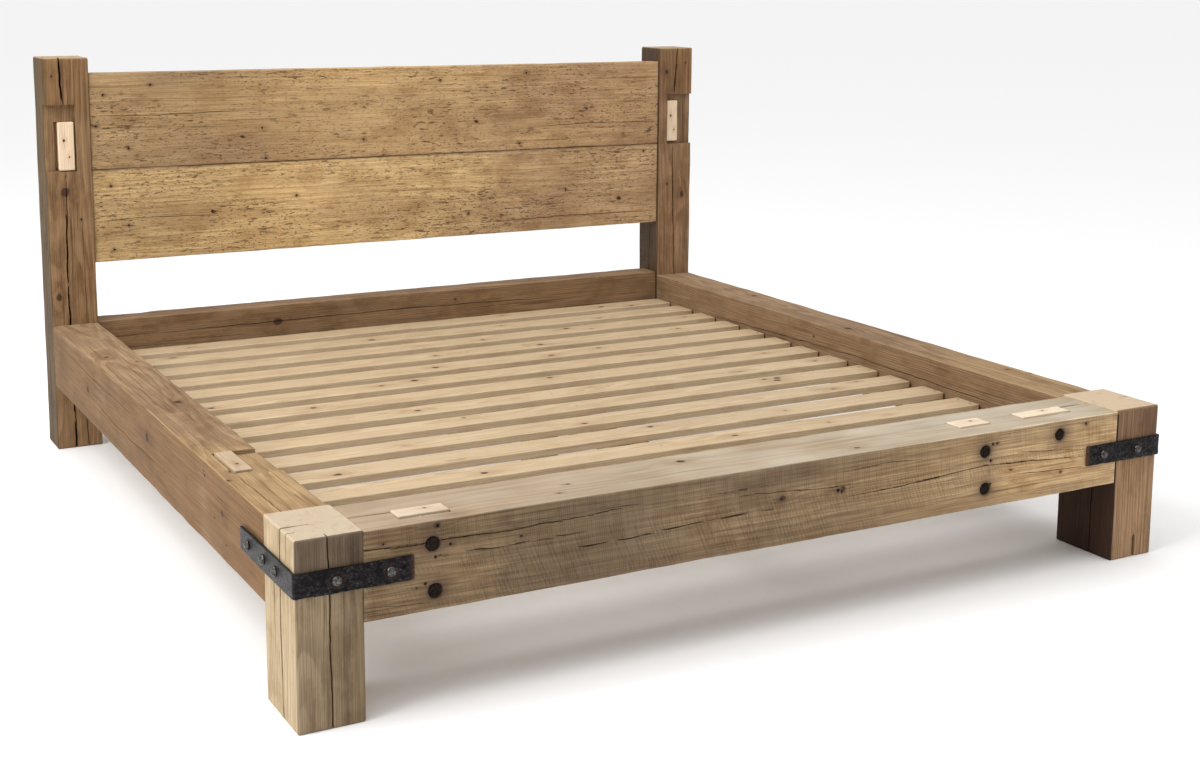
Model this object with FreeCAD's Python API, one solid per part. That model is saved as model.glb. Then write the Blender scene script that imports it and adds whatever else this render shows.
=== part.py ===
import FreeCAD, Part
import os

# A king-size bed frame of reclaimed barn timbers, in millimetres.
# Origin on the floor under the middle of the frame, +X to the right as seen from the foot,
# +Y to the headboard, +Z up. "Inward" is measured from a side's outer face to the middle,
# "deep" from the timbers' front face at the foot to the head.

# ---- driving dimensions ----
bed_width = 2250.0
timber_length = 2356.0
head_height = 1184.0
foot_height = 386.0

post_width = 140.0
foot_post_depth = 190.0
head_post_depth = 133.0
rail_width = 140.0
rail_bottom = 196.0
side_rail_top = {"left": 386.0, "right": 376.0}
foot_rail_depth = 182.0
foot_rail_bottom = 199.0
foot_rail_top = 385.0
cross_rail_depth = 90.0
arris = 4.0

board_thickness = 50.0
board_setback = 9.0
board_bottom = 565.0
board_seam = 846.5
board_top = 1137.0
board_tongue = 25.0
batten_width = 89.0
batten_thickness = 38.0
batten_places = {"left": -700.0, "centre": 0.0, "right": 700.0}
batten_inset = 25.0

deck_top = 290.0
slat_count = 14
slat_width = 89.0
slat_thickness = 19.0
slat_end_margin = 20.0
slat_side_gap = 2.0
ledger_width = 38.0
ledger_height = 45.0
ledger_end_gap = 10.0
beam_width = 38.0
beam_height = 64.0
leg_count = 3
leg_width = 89.0
leg_depth = 64.0
leg_cheek_top = 262.0
leg_bottom = 20.0

strap_thickness = 6.0
strap_height = 50.0
strap_front_reach = 240.0
strap_side_reach = 323.0
strap_bend_radius = 7.0
strap_centre = {"left": 298.0, "right": 284.0}
strap_front_bolts = {"left": (81.0, 192.0), "right": (73.0, 187.0)}
strap_side_bolts = (99.0, 174.0, 272.0)
strap_bolt_head_radius = 11.0
strap_bolt_head_rise = 8.0
strap_bolt_radius = 4.8
strap_bolt_length = 42.0

# ---- places worked out from them ----
iron_proud = strap_thickness + strap_bolt_head_rise
half_width = bed_width / 2
y_front = -(timber_length + iron_proud) / 2 + iron_proud
y_back = y_front + timber_length
y_foot_post_back = y_front + foot_post_depth
y_foot_rail_back = y_front + foot_rail_depth
y_head_post_front = y_back - head_post_depth
y_board_front = y_head_post_front + board_setback
y_board_back = y_board_front + board_thickness
inner_half = half_width - post_width
slat_bottom = deck_top - slat_thickness
beam_bottom = slat_bottom - beam_height
sides = {"left": -1, "right": 1}


def vector(x, y, z):
    return FreeCAD.Vector(x, y, z)


def box(x_pair, y_pair, z_pair):
    """A block between two limits on each axis, given in either order."""
    low = [min(pair) for pair in (x_pair, y_pair, z_pair)]
    high = [max(pair) for pair in (x_pair, y_pair, z_pair)]
    size = [b - a for a, b in zip(low, high)]
    return Part.makeBox(*size, vector(*low))


def rod(radius, start, end):
    """A round bar between two points."""
    along = vector(*end) - vector(*start)
    return Part.makeCylinder(radius, along.Length, vector(*start), along)


def inward(side, *distances):
    """X of places measured inwards from one side's outer face."""
    return tuple(sides[side] * (half_width - distance) for distance in distances)


def deep(*distances):
    """Y of places measured from the timbers' front face at the foot."""
    return tuple(y_front + distance for distance in distances)


def joined(base, others):
    """One solid made of pieces that touch or overlap."""
    return base.fuse(others).removeSplitter().Solids[0]


def timber(x_pair, y_pair, z_pair, grain):
    """A sawn timber whose four long edges are eased by a small chamfer."""
    block = box(x_pair, y_pair, z_pair)
    long_edges = []
    for edge in block.Edges:
        ends = [vertex.Point for vertex in edge.Vertexes]
        run = ends[1] - ends[0]
        if abs((run.x, run.y, run.z)["xyz".index(grain)]) > 1.0:
            long_edges.append(edge)
    return block.makeChamfer(arris, long_edges)


def wood_screw(head, direction, length, radius=2.2, head_radius=4.5, head_depth=2.6):
    """A countersunk screw whose head is flush at one point and whose tip is a short cone."""
    along = vector(*direction)
    start = vector(*head)
    neck = start + along * head_depth
    tip = start + along * (length - 2 * radius)
    cone = Part.makeCone(head_radius, radius, head_depth, start, along)
    shank = Part.makeCylinder(radius, (tip - neck).Length, neck, along)
    point = Part.makeCone(radius, 0.4, 2 * radius, tip, along)
    return joined(cone, [shank, point])


def save(node, *solids):
    """Write one sub-part: a single solid, or a group of separate ones."""
    for solid in solids:
        if not solid.isValid() or len(solid.Solids) != 1:
            raise ValueError("bad solid in " + node)
    pieces = [solid.Solids[0] for solid in solids]
    shape = pieces[0] if len(pieces) == 1 else Part.makeCompound(pieces)
    shape.exportStep("parts/" + node + ".step")


# ---- iron straps at the two foot corners, and their domed bolts ----
def corner_strap(side):
    """A flat bar bent round the post: one leg on the front face, one on the outer side."""
    z_pair = (strap_centre[side] - strap_height / 2, strap_centre[side] + strap_height / 2)
    front = box(inward(side, -strap_thickness, strap_front_reach), deep(-strap_thickness, 0), z_pair)
    flank = box(inward(side, -strap_thickness, 0), deep(-strap_thickness, strap_side_reach), z_pair)
    bar = joined(front, [flank])
    corner_x = inward(side, -strap_thickness)[0]
    corner_y = deep(-strap_thickness)[0]
    bend = []
    for edge in bar.Edges:
        points = [vertex.Point for vertex in edge.Vertexes]
        if all(abs(p.x - corner_x) < 0.01 and abs(p.y - corner_y) < 0.01 for p in points):
            bend.append(edge)
    return bar.makeFillet(strap_bend_radius, bend)


def strap_bolt(seat, direction):
    """A bolt with a domed head on the iron and a shank into the wood."""
    along = vector(*direction)
    rise = strap_bolt_head_rise
    ball_radius = (strap_bolt_head_radius ** 2 + rise ** 2) / (2 * rise)
    start = vector(*seat)
    ball = Part.makeSphere(ball_radius, start + along * (ball_radius - rise))
    cut_start = start - along * rise
    dome = ball.common(Part.makeCylinder(strap_bolt_head_radius, rise, cut_start, along))
    shank = Part.makeCylinder(strap_bolt_radius, strap_bolt_length, start, along)
    return joined(dome.Solids[0], [shank])


def strap_bolts(side):
    """The bolts of one corner: two through the front leg, three through the side leg."""
    z = strap_centre[side]
    front_y = deep(-strap_thickness)[0]
    flank_x = inward(side, -strap_thickness)[0]
    bolts = []
    for place in strap_front_bolts[side]:
        bolts.append(strap_bolt((inward(side, place)[0], front_y, z), (0, 1, 0)))
    for place in strap_side_bolts:
        bolts.append(strap_bolt((flank_x, deep(place)[0], z), (-sides[side], 0, 0)))
    return bolts


# ---- knock-down joints of the side rails: a stub tenon and a stud with a nut in a pocket ----
stub_length = 20.0
stub_inward = (50.0, 90.0)
stub_heights = (276.0, 366.0)
stud_radius = 6.0
stud_height = 246.0
stud_grip = 90.0
pocket_start = 80.0
pocket_length = 70.0
pocket_width = 50.0
pocket_headroom = 28.0
washer_radius = 18.0
washer_thickness = 4.0
nut_flats = 19.0
nut_thickness = 10.0
rail_joints = {"foot": (y_foot_post_back, 1), "head": (y_head_post_front, -1)}


def joint_stub(side, end, slack=0.0):
    """The short tenon on a side rail's end, or its mortise when there is slack at the bottom."""
    y, into_rail = rail_joints[end]
    return box(inward(side, *stub_inward), (y + into_rail, y - into_rail * (stub_length + slack)), stub_heights)


def joint_stud(side, end):
    """A threaded stud fixed in the post and reaching into the rail's pocket."""
    y, into_rail = rail_joints[end]
    x = inward(side, rail_width / 2)[0]
    reach = pocket_start + washer_thickness + nut_thickness + stud_radius
    return rod(stud_radius, (x, y - into_rail * stud_grip, stud_height), (x, y + into_rail * reach, stud_height))


def joint_pocket(side, end):
    """The pocket in the rail's underside, where a spanner reaches the nut."""
    y, into_rail = rail_joints[end]
    middle = rail_width / 2
    x_pair = inward(side, middle - pocket_width / 2, middle + pocket_width / 2)
    y_pair = (y + into_rail * pocket_start, y + into_rail * (pocket_start + pocket_length))
    return box(x_pair, y_pair, (rail_bottom - 1, stud_height + pocket_headroom))


def joint_washer(side, end):
    y, into_rail = rail_joints[end]
    x = inward(side, rail_width / 2)[0]
    near = (x, y + into_rail * pocket_start, stud_height)
    far = (x, y + into_rail * (pocket_start + washer_thickness), stud_height)
    return rod(washer_radius, near, far).cut(rod(stud_radius, near, far))


def joint_nut(side, end):
    """A hexagon nut, tight on the washer."""
    y, into_rail = rail_joints[end]
    x = inward(side, rail_width / 2)[0]
    near = y + into_rail * (pocket_start + washer_thickness)
    far = near + into_rail * nut_thickness
    corner = vector(0, 0, nut_flats / 3 ** 0.5)
    turn = FreeCAD.Rotation(vector(0, 1, 0), 60)
    ring = [corner]
    for _ in range(6):
        ring.append(turn.multVec(ring[-1]))
    ring[-1] = corner
    centre = vector(x, near, stud_height)
    face = Part.Face(Part.makePolygon([centre + point for point in ring]))
    prism = face.extrude(vector(0, far - near, 0))
    return prism.cut(rod(stud_radius, (x, near, stud_height), (x, far, stud_height)))


# ---- tenons of the foot rail and of the head cross rail ----
tenon_length = 60.0
tenon_slack = 2.0
foot_tenon_deep = (74.0, 124.0)
foot_tenon_heights = (230.0, 350.0)
cross_tenon_inset = 25.0
cross_tenon_thickness = 40.0
cross_tenon_heights = (226.0, 356.0)
head_peg_radius = 10.0
head_peg_inward = 110.0
head_peg_heights = (258.0, 324.0)
head_peg_length = 111.0


def foot_tenon(side, slack=0.0):
    x_pair = inward(side, post_width + 1, post_width - tenon_length - slack)
    return box(x_pair, deep(*foot_tenon_deep), foot_tenon_heights)


def cross_tenon(side, slack=0.0):
    x_pair = inward(side, post_width + 1, post_width - tenon_length - slack)
    y = y_board_front + cross_tenon_inset
    return box(x_pair, (y, y + cross_tenon_thickness), cross_tenon_heights)


def head_pegs(side):
    """Two round pegs driven from the back through the cross rail's tenon."""
    x = inward(side, head_peg_inward)[0]
    pegs = []
    for z in head_peg_heights:
        pegs.append(rod(head_peg_radius, (x, y_back, z), (x, y_back - head_peg_length, z)))
    return pegs


# ---- what is left of the barn's joints: filled mortises, housings and cut-off pegs ----
plug_depth = 45.0
plug_proud = 2.0
foot_rail_plugs = {
    "foot_rail_plug_left": ((229.0, 338.0), (48.0, 93.0)),
    "foot_rail_plug_middle": ((1660.0, 1753.0), (61.0, 112.0)),
    "foot_rail_plug_right": ((1857.0, 2007.0), (60.0, 104.0)),
}
side_plug_inward = (37.0, 77.0)
side_plug_deep = (495.0, 652.0)
housing_inward = (77.0, rail_width + 1)
housing_deep = (472.0, 662.0)
housing_depth = 12.0
old_peg_radius = 14.0
old_peg_length = 40.0
old_peg_places = ((282.0, 337.0), (287.0, 240.0), (1690.0, 337.0), (1693.0, 246.0), (1924.0, 349.0))
notch_depth = 18.0
notch_inward = {"left": 94.0, "right": 103.0}
notch_heights = {"left": (846.0, 1045.0), "right": (844.0, 1020.0)}
post_mortise_inward = {"left": (33.0, 89.0), "right": (55.0, 102.0)}
post_plug_inward = {"left": (43.0, 89.0), "right": (58.0, 102.0)}
post_plug_heights = {"left": (849.0, 994.0), "right": (854.0, 998.0)}
post_plug_proud = 12.0
post_plug_seat = 50.0


def foot_rail_plug(node, proud):
    """A block of new pine in an old mortise; its top stands a little proud of the rail."""
    from_left, deep_pair = foot_rail_plugs[node]
    z_pair = (foot_rail_top - plug_depth, foot_rail_top + proud)
    return box(inward("left", *from_left), deep(*deep_pair), z_pair)


def side_rail_plug(proud):
    z_pair = (side_rail_top["left"] - plug_depth, side_rail_top["left"] + proud)
    return box(inward("left", *side_plug_inward), deep(*side_plug_deep), z_pair)


def old_pegs():
    """Cut-off ends of the barn's pegs, left in the foot rail's front face."""
    pegs = []
    for from_left, z in old_peg_places:
        x = inward("left", from_left)[0]
        pegs.append(rod(old_peg_radius, (x, y_front, z), (x, y_front + old_peg_length, z)))
    return pegs


def post_notch(side):
    """The barn joint's shallow housing in a head post's front face, open at the outer side."""
    x_pair = inward(side, -1, notch_inward[side])
    return box(x_pair, (y_head_post_front - 1, y_head_post_front + notch_depth), notch_heights[side])


def post_plug(side, inward_pair, proud):
    """A block in the mortise behind the notch, or the mortise itself."""
    floor = y_head_post_front + notch_depth
    y_pair = (floor - proud, floor + post_plug_seat)
    return box(inward(side, *inward_pair), y_pair, post_plug_heights[side])


# ---- headboard ----
def headboard_plank(z_pair):
    """A wide plank whose ends are let into grooves in the posts."""
    reach = inner_half + board_tongue
    return timber((-reach, reach), (y_board_front, y_board_back), z_pair, "x")


def plank_groove(side):
    x_pair = inward(side, post_width + 1, post_width - board_tongue - tenon_slack)
    return box(x_pair, (y_board_front, y_board_back), (board_bottom, board_top))


def batten(place):
    x = batten_places[place]
    x_pair = (x - batten_width / 2, x + batten_width / 2)
    z_pair = (board_bottom + batten_inset, board_top - batten_inset)
    return timber(x_pair, (y_board_back, y_board_back + batten_thickness), z_pair, "z")


batten_screw_length = 75.0
batten_screw_edge = 22.0
batten_screw_rows = (0.25, 0.75)


def batten_screws(place):
    """Two pairs of screws into each plank, from the back."""
    screws = []
    for low, high in ((board_bottom, board_seam), (board_seam, board_top)):
        for row in batten_screw_rows:
            for offset in (-batten_screw_edge, batten_screw_edge):
                head = (batten_places[place] + offset, y_board_back + batten_thickness, low + row * (high - low))
                screws.append(wood_screw(head, (0, -1, 0), batten_screw_length, radius=2.5, head_radius=5.0))
    return screws


# ---- the deck: ledgers, centre beam on legs, slats ----
slat_length = 2 * (inner_half - slat_side_gap)
slat_first = y_foot_rail_back + slat_end_margin + slat_width / 2
slat_last = y_board_front - slat_end_margin - slat_width / 2
slat_pitch = (slat_last - slat_first) / (slat_count - 1)
slat_places = [slat_first + k * slat_pitch for k in range(slat_count)]
slat_screw_length = 45.0
slat_screw_edge = 24.0
ledger_screw_count = 7
ledger_screw_length = 75.0
hanger_thickness = 3.0
hanger_half_width = 52.0
hanger_top = 258.0
hanger_seat = 45.0
hanger_screw_x = 38.0
hanger_screw_heights = (216.0, 246.0)
hanger_screw_length = 40.0
leg_screw_height = 228.0
leg_screw_length = 80.0
leg_screw_spread = 18.0
beam_length = y_board_front - y_foot_rail_back
leg_places = [y_foot_rail_back + (k + 1) * beam_length / (leg_count + 1) for k in range(leg_count)]


def ledger(side):
    x_pair = inward(side, rail_width, rail_width + ledger_width)
    y_pair = (y_foot_post_back + ledger_end_gap, y_head_post_front - ledger_end_gap)
    return timber(x_pair, y_pair, (slat_bottom - ledger_height, slat_bottom), "y")


def ledger_screws(side):
    """Screws through the ledger into the side rail, evenly spaced."""
    x = inward(side, rail_width + ledger_width)[0]
    run = y_head_post_front - y_foot_post_back
    screws = []
    for k in range(ledger_screw_count):
        y = y_foot_post_back + run * (k + 0.5) / ledger_screw_count
        head = (x, y, slat_bottom - ledger_height / 2)
        screws.append(wood_screw(head, (sides[side], 0, 0), ledger_screw_length, radius=3.0, head_radius=6.0))
    return screws


def slat(y):
    x_pair = (-slat_length / 2, slat_length / 2)
    return box(x_pair, (y - slat_width / 2, y + slat_width / 2), (slat_bottom, deck_top))


def slat_screws(y):
    """Two screws into each ledger and one into the centre beam."""
    end = inner_half - ledger_width / 2
    heads = [(0.0, y)]
    for x in (-end, end):
        heads += [(x, y - slat_screw_edge), (x, y + slat_screw_edge)]
    return [wood_screw((x, at, deck_top), (0, 0, -1), slat_screw_length) for x, at in heads]


def centre_beam():
    y_pair = (y_foot_rail_back + hanger_thickness, y_board_front - hanger_thickness)
    return box((-beam_width / 2, beam_width / 2), y_pair, (beam_bottom, slat_bottom))


def beam_hanger(y, facing):
    """A folded steel shoe: a back plate on the rail, two cheeks and a seat for the beam."""
    outer = beam_width / 2 + hanger_thickness
    low = beam_bottom - hanger_thickness
    plate = box((-hanger_half_width, hanger_half_width), (y, y + facing * hanger_thickness), (low, hanger_top))
    shoe = box((-outer, outer), (y, y + facing * hanger_seat), (low, hanger_top))
    room = box((-beam_width / 2, beam_width / 2),
               (y + facing * hanger_thickness, y + facing * (hanger_seat + 1)),
               (beam_bottom, hanger_top + 1))
    return joined(plate, [shoe]).cut(room)


def hanger_screws(y, facing):
    screws = []
    for x in (-hanger_screw_x, hanger_screw_x):
        for z in hanger_screw_heights:
            head = (x, y + facing * hanger_thickness, z)
            screws.append(wood_screw(head, (0, -facing, 0), hanger_screw_length))
    return screws


stem_radius = 4.95
insert_bore = 5.0
insert_radius = 8.0
insert_length = 25.0
insert_flange_radius = 14.0
insert_flange = 2.0
stem_room_radius = 6.0
stem_room_top = 90.0
stem_top = 62.0
pad_radius = 20.0
pad_rim = 6.0
pad_top = 10.0
pad_shoulder = 8.0


def centre_leg(y):
    """A forked leg that straddles the beam, bored from below for the levelling foot."""
    y_pair = (y - leg_depth / 2, y + leg_depth / 2)
    block = timber((-leg_width / 2, leg_width / 2), y_pair, (leg_bottom, leg_cheek_top), "z")
    fork = box((-beam_width / 2, beam_width / 2), (y - leg_depth, y + leg_depth), (beam_bottom, leg_cheek_top + 1))
    room = rod(stem_room_radius, (0, y, leg_bottom), (0, y, stem_room_top))
    seat = rod(insert_radius, (0, y, leg_bottom - 1), (0, y, leg_bottom + insert_length))
    return block.cut([fork, room, seat])


def leg_screws(y):
    head_x = -leg_width / 2
    places = (y - leg_screw_spread, y + leg_screw_spread)
    return [wood_screw((head_x, at, leg_screw_height), (1, 0, 0), leg_screw_length, radius=2.5) for at in places]


def leg_insert(y):
    """A threaded insert with a flange against the leg's end."""
    barrel = rod(insert_radius, (0, y, leg_bottom), (0, y, leg_bottom + insert_length))
    flange = rod(insert_flange_radius, (0, y, leg_bottom - insert_flange), (0, y, leg_bottom))
    bore = rod(insert_bore, (0, y, 0), (0, y, stem_room_top))
    return joined(barrel, [flange]).cut(bore)


def levelling_foot(y):
    """A round pad on a threaded stem that screws in and out of the insert."""
    rim = Part.makeCylinder(pad_radius, pad_rim, vector(0, y, 0))
    shoulder = Part.makeCone(pad_radius, pad_shoulder, pad_top - pad_rim, vector(0, y, pad_rim))
    stem = rod(stem_radius, (0, y, pad_top), (0, y, stem_top))
    return joined(rim, [shoulder, stem])


# ---- the timbers, each with its joints cut ----
def foot_post(side):
    post = timber(inward(side, 0, post_width), deep(0, foot_post_depth), (0, foot_height), "z")
    cuts = [foot_tenon(side, tenon_slack), joint_stub(side, "foot", tenon_slack), joint_stud(side, "foot")]
    return post.cut(cuts + strap_bolts(side))


def head_post(side):
    post = timber(inward(side, 0, post_width), (y_head_post_front, y_back), (0, head_height), "z")
    cuts = [cross_tenon(side, tenon_slack), joint_stub(side, "head", tenon_slack), joint_stud(side, "head")]
    cuts += [plank_groove(side), post_notch(side), post_plug(side, post_mortise_inward[side], 0)]
    return post.cut(cuts + head_pegs(side))


def side_rail(side):
    """A side rail between the posts; the left one keeps a joist housing and a filled mortise."""
    y_pair = (y_foot_post_back, y_head_post_front)
    rail = timber(inward(side, 0, rail_width), y_pair, (rail_bottom, side_rail_top[side]), "y")
    rail = joined(rail, [joint_stub(side, "foot"), joint_stub(side, "head")])
    cuts = ledger_screws(side) + strap_bolts(side)
    for end in rail_joints:
        cuts += [joint_stud(side, end), joint_pocket(side, end)]
    if side == "left":
        z_pair = (side_rail_top[side] - housing_depth, side_rail_top[side] + 1)
        cuts += [side_rail_plug(0), box(inward(side, *housing_inward), deep(*housing_deep), z_pair)]
    return rail.cut(cuts)


def foot_rail():
    y_pair = (y_front, y_foot_rail_back)
    rail = timber((-inner_half, inner_half), y_pair, (foot_rail_bottom, foot_rail_top), "x")
    rail = joined(rail, [foot_tenon("left"), foot_tenon("right")])
    cuts = [foot_rail_plug(node, 0) for node in foot_rail_plugs]
    cuts += old_pegs() + strap_bolts("left") + strap_bolts("right")
    return rail.cut(cuts + hanger_screws(y_foot_rail_back, 1))


def head_cross_rail():
    y_pair = (y_board_front, y_board_front + cross_rail_depth)
    rail = timber((-inner_half, inner_half), y_pair, (rail_bottom, foot_height), "x")
    rail = joined(rail, [cross_tenon("left"), cross_tenon("right")])
    return rail.cut(head_pegs("left") + head_pegs("right") + hanger_screws(y_board_front, -1))


os.makedirs("parts", exist_ok=True)

for side in sides:
    save("foot_post_" + side, foot_post(side))
    save("head_post_" + side, head_post(side))
    save("side_rail_" + side, side_rail(side))
    save("side_ledger_" + side, ledger(side).cut(ledger_screws(side) + sum(map(slat_screws, slat_places), [])))
    save("corner_strap_" + side, corner_strap(side).cut(strap_bolts(side)))
    save("head_post_plug_" + side, post_plug(side, post_plug_inward[side], post_plug_proud))

save("foot_rail", foot_rail())
save("head_cross_rail", head_cross_rail())
for node in foot_rail_plugs:
    save(node, foot_rail_plug(node, plug_proud))
save("side_rail_plug_left", side_rail_plug(plug_proud))
save("foot_rail_old_pegs", *old_pegs())
save("head_joint_pegs", *head_pegs("left"), *head_pegs("right"))
save("strap_bolts", *strap_bolts("left"), *strap_bolts("right"))

joints = [(side, end) for side in sides for end in rail_joints]
save("rail_studs", *[joint_stud(*joint) for joint in joints])
save("rail_washers", *[joint_washer(*joint) for joint in joints])
save("rail_nuts", *[joint_nut(*joint) for joint in joints])

all_batten_screws = sum(map(batten_screws, batten_places), [])
save("headboard_plank_lower", headboard_plank((board_bottom, board_seam - 0.5)).cut(all_batten_screws))
save("headboard_plank_upper", headboard_plank((board_seam + 0.5, board_top)).cut(all_batten_screws))
for place in batten_places:
    save("headboard_batten_" + place, batten(place).cut(batten_screws(place)))
save("batten_screws", *all_batten_screws)

for number, y in enumerate(slat_places, start=1):
    save("slat_%02d" % number, slat(y).cut(slat_screws(y)))
save("slat_screws", *sum(map(slat_screws, slat_places), []))
save("ledger_screws", *ledger_screws("left"), *ledger_screws("right"))

all_leg_screws = sum(map(leg_screws, leg_places), [])
save("centre_beam", centre_beam().cut(all_leg_screws + sum(map(slat_screws, slat_places), [])))
hangers = {"foot": (y_foot_rail_back, 1), "head": (y_board_front, -1)}
for end, place in hangers.items():
    save("beam_hanger_" + end, beam_hanger(*place).cut(hanger_screws(*place)))
save("hanger_screws", *hanger_screws(*hangers["foot"]), *hanger_screws(*hangers["head"]))
for number, y in enumerate(leg_places, start=1):
    save("centre_leg_%d" % number, centre_leg(y).cut(leg_screws(y)))
    save("levelling_foot_%d" % number, levelling_foot(y))
save("leg_screws", *all_leg_screws)
save("leg_inserts", *map(leg_insert, leg_places))
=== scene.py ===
import math
import bpy
import numpy as np
from mathutils import Matrix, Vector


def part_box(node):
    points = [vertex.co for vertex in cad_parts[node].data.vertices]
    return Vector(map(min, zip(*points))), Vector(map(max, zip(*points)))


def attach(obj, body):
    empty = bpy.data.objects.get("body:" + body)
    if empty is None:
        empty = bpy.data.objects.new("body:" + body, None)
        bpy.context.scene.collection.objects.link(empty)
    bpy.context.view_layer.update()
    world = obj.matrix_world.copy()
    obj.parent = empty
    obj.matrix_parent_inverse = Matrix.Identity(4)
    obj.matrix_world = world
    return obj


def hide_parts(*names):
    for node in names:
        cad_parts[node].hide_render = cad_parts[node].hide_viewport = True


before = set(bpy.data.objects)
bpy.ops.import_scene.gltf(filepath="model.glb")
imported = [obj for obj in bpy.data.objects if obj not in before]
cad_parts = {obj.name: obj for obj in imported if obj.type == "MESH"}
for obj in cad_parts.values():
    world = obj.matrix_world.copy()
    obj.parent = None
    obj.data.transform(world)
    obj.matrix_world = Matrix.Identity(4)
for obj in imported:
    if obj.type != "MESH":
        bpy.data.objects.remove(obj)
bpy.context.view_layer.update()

# ---- Foot posts ----
# Two short posts cut from old barn beams, standing on end: sawn square, grey-brown, and split by
# long drying checks. The rails are tenoned and bolted into them, and their arrises are rubbed soft.


def drift(points, cell, seed):
    """Smooth random value from -1 to 1: random numbers on a lattice of cells, blended by 3t^2 - 2t^3."""
    table = np.random.default_rng(seed).uniform(-1, 1, (32, 32, 32))
    scaled = points / np.asarray(cell, float)
    base = np.floor(scaled).astype(int)
    t = scaled - base
    t = t * t * (3 - 2 * t)
    total = 0.0
    for corner in np.ndindex(2, 2, 2):
        weight = np.prod(np.where(np.array(corner) == 1, t, 1 - t), axis=-1)
        i, j, k = np.moveaxis((base + corner) % 32, -1, 0)
        total = total + weight * table[i, j, k]
    return total


def lines(start, end, step, marks):
    """Grid lines about one step apart, except where the marked lines lie close to them."""
    even = np.linspace(start, end, max(2, round((end - start) / step) + 1))
    marks = np.array([m for m in marks if start < m < end])
    if len(marks):
        clear = np.abs(even[:, None] - marks).min(axis=1) > 0.35 * step
        clear[[0, -1]] = True
        even = even[clear]
    return np.unique(np.round(np.concatenate([even, marks]), 4))


def skin(name, shells, material, nodes, body="bed", crease=38):
    """One piece made of closed shells. A shell is rings of points, counter-clockwise as seen from
    its far end: quads join each ring to the next, and a fan round its middle closes each end."""
    points, quads, fans, marks = [], [], [], []
    start = 0
    for shell in shells:
        rings, values = shell if isinstance(shell, tuple) else (shell, np.zeros((*shell.shape[:2], 4)))
        count, round_count = rings.shape[:2]
        points += [rings.reshape(-1, 3), rings[:1].mean(axis=1), rings[-1:].mean(axis=1)]
        marks += [values.reshape(-1, 4), values[:1].mean(axis=1), values[-1:].mean(axis=1)]
        i, j = np.meshgrid(np.arange(count - 1) * round_count, np.arange(round_count), indexing="ij")
        k = (j + 1) % round_count
        quads.append(start + np.stack([i + j, i + k, i + round_count + k, i + round_count + j], -1).reshape(-1, 4))
        j, k = j[0], k[0]
        low_pole = start + count * round_count
        last = start + (count - 1) * round_count
        fans.append(np.stack([np.full_like(j, low_pole), start + k, start + j], -1))
        fans.append(np.stack([np.full_like(j, low_pole + 1), last + j, last + k], -1))
        start += count * round_count + 2
    points, marks = np.concatenate(points), np.concatenate(marks)
    quads, fans = np.concatenate(quads), np.concatenate(fans)
    mesh = bpy.data.meshes.new(name)
    mesh.vertices.add(len(points))
    mesh.vertices.foreach_set("co", points.astype(np.float32).ravel())
    mesh.loops.add(quads.size + fans.size)
    mesh.loops.foreach_set("vertex_index", np.concatenate([quads.ravel(), fans.ravel()]).astype(np.int32))
    sizes = np.concatenate([np.full(len(quads), 4), np.full(len(fans), 3)])
    mesh.polygons.add(len(sizes))
    mesh.polygons.foreach_set("loop_start", (np.cumsum(sizes) - sizes).astype(np.int32))
    mesh.polygons.foreach_set("use_smooth", np.ones(len(sizes), bool))
    mesh.update(calc_edges=True)
    mesh.set_sharp_from_angle(angle=math.radians(crease))
    # per-point values for the shaders: painted shade in hollows, arris, iron stain, knot distance
    wear_and_shade = mesh.attributes.new("wear_and_shade", "FLOAT_COLOR", "POINT")
    wear_and_shade.data.foreach_set("color", marks.astype(np.float32).ravel())
    mesh.materials.append(material)
    piece = bpy.data.objects.new(name, mesh)
    bpy.context.scene.collection.objects.link(piece)
    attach(piece, body)
    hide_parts(*nodes)
    return piece


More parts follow.
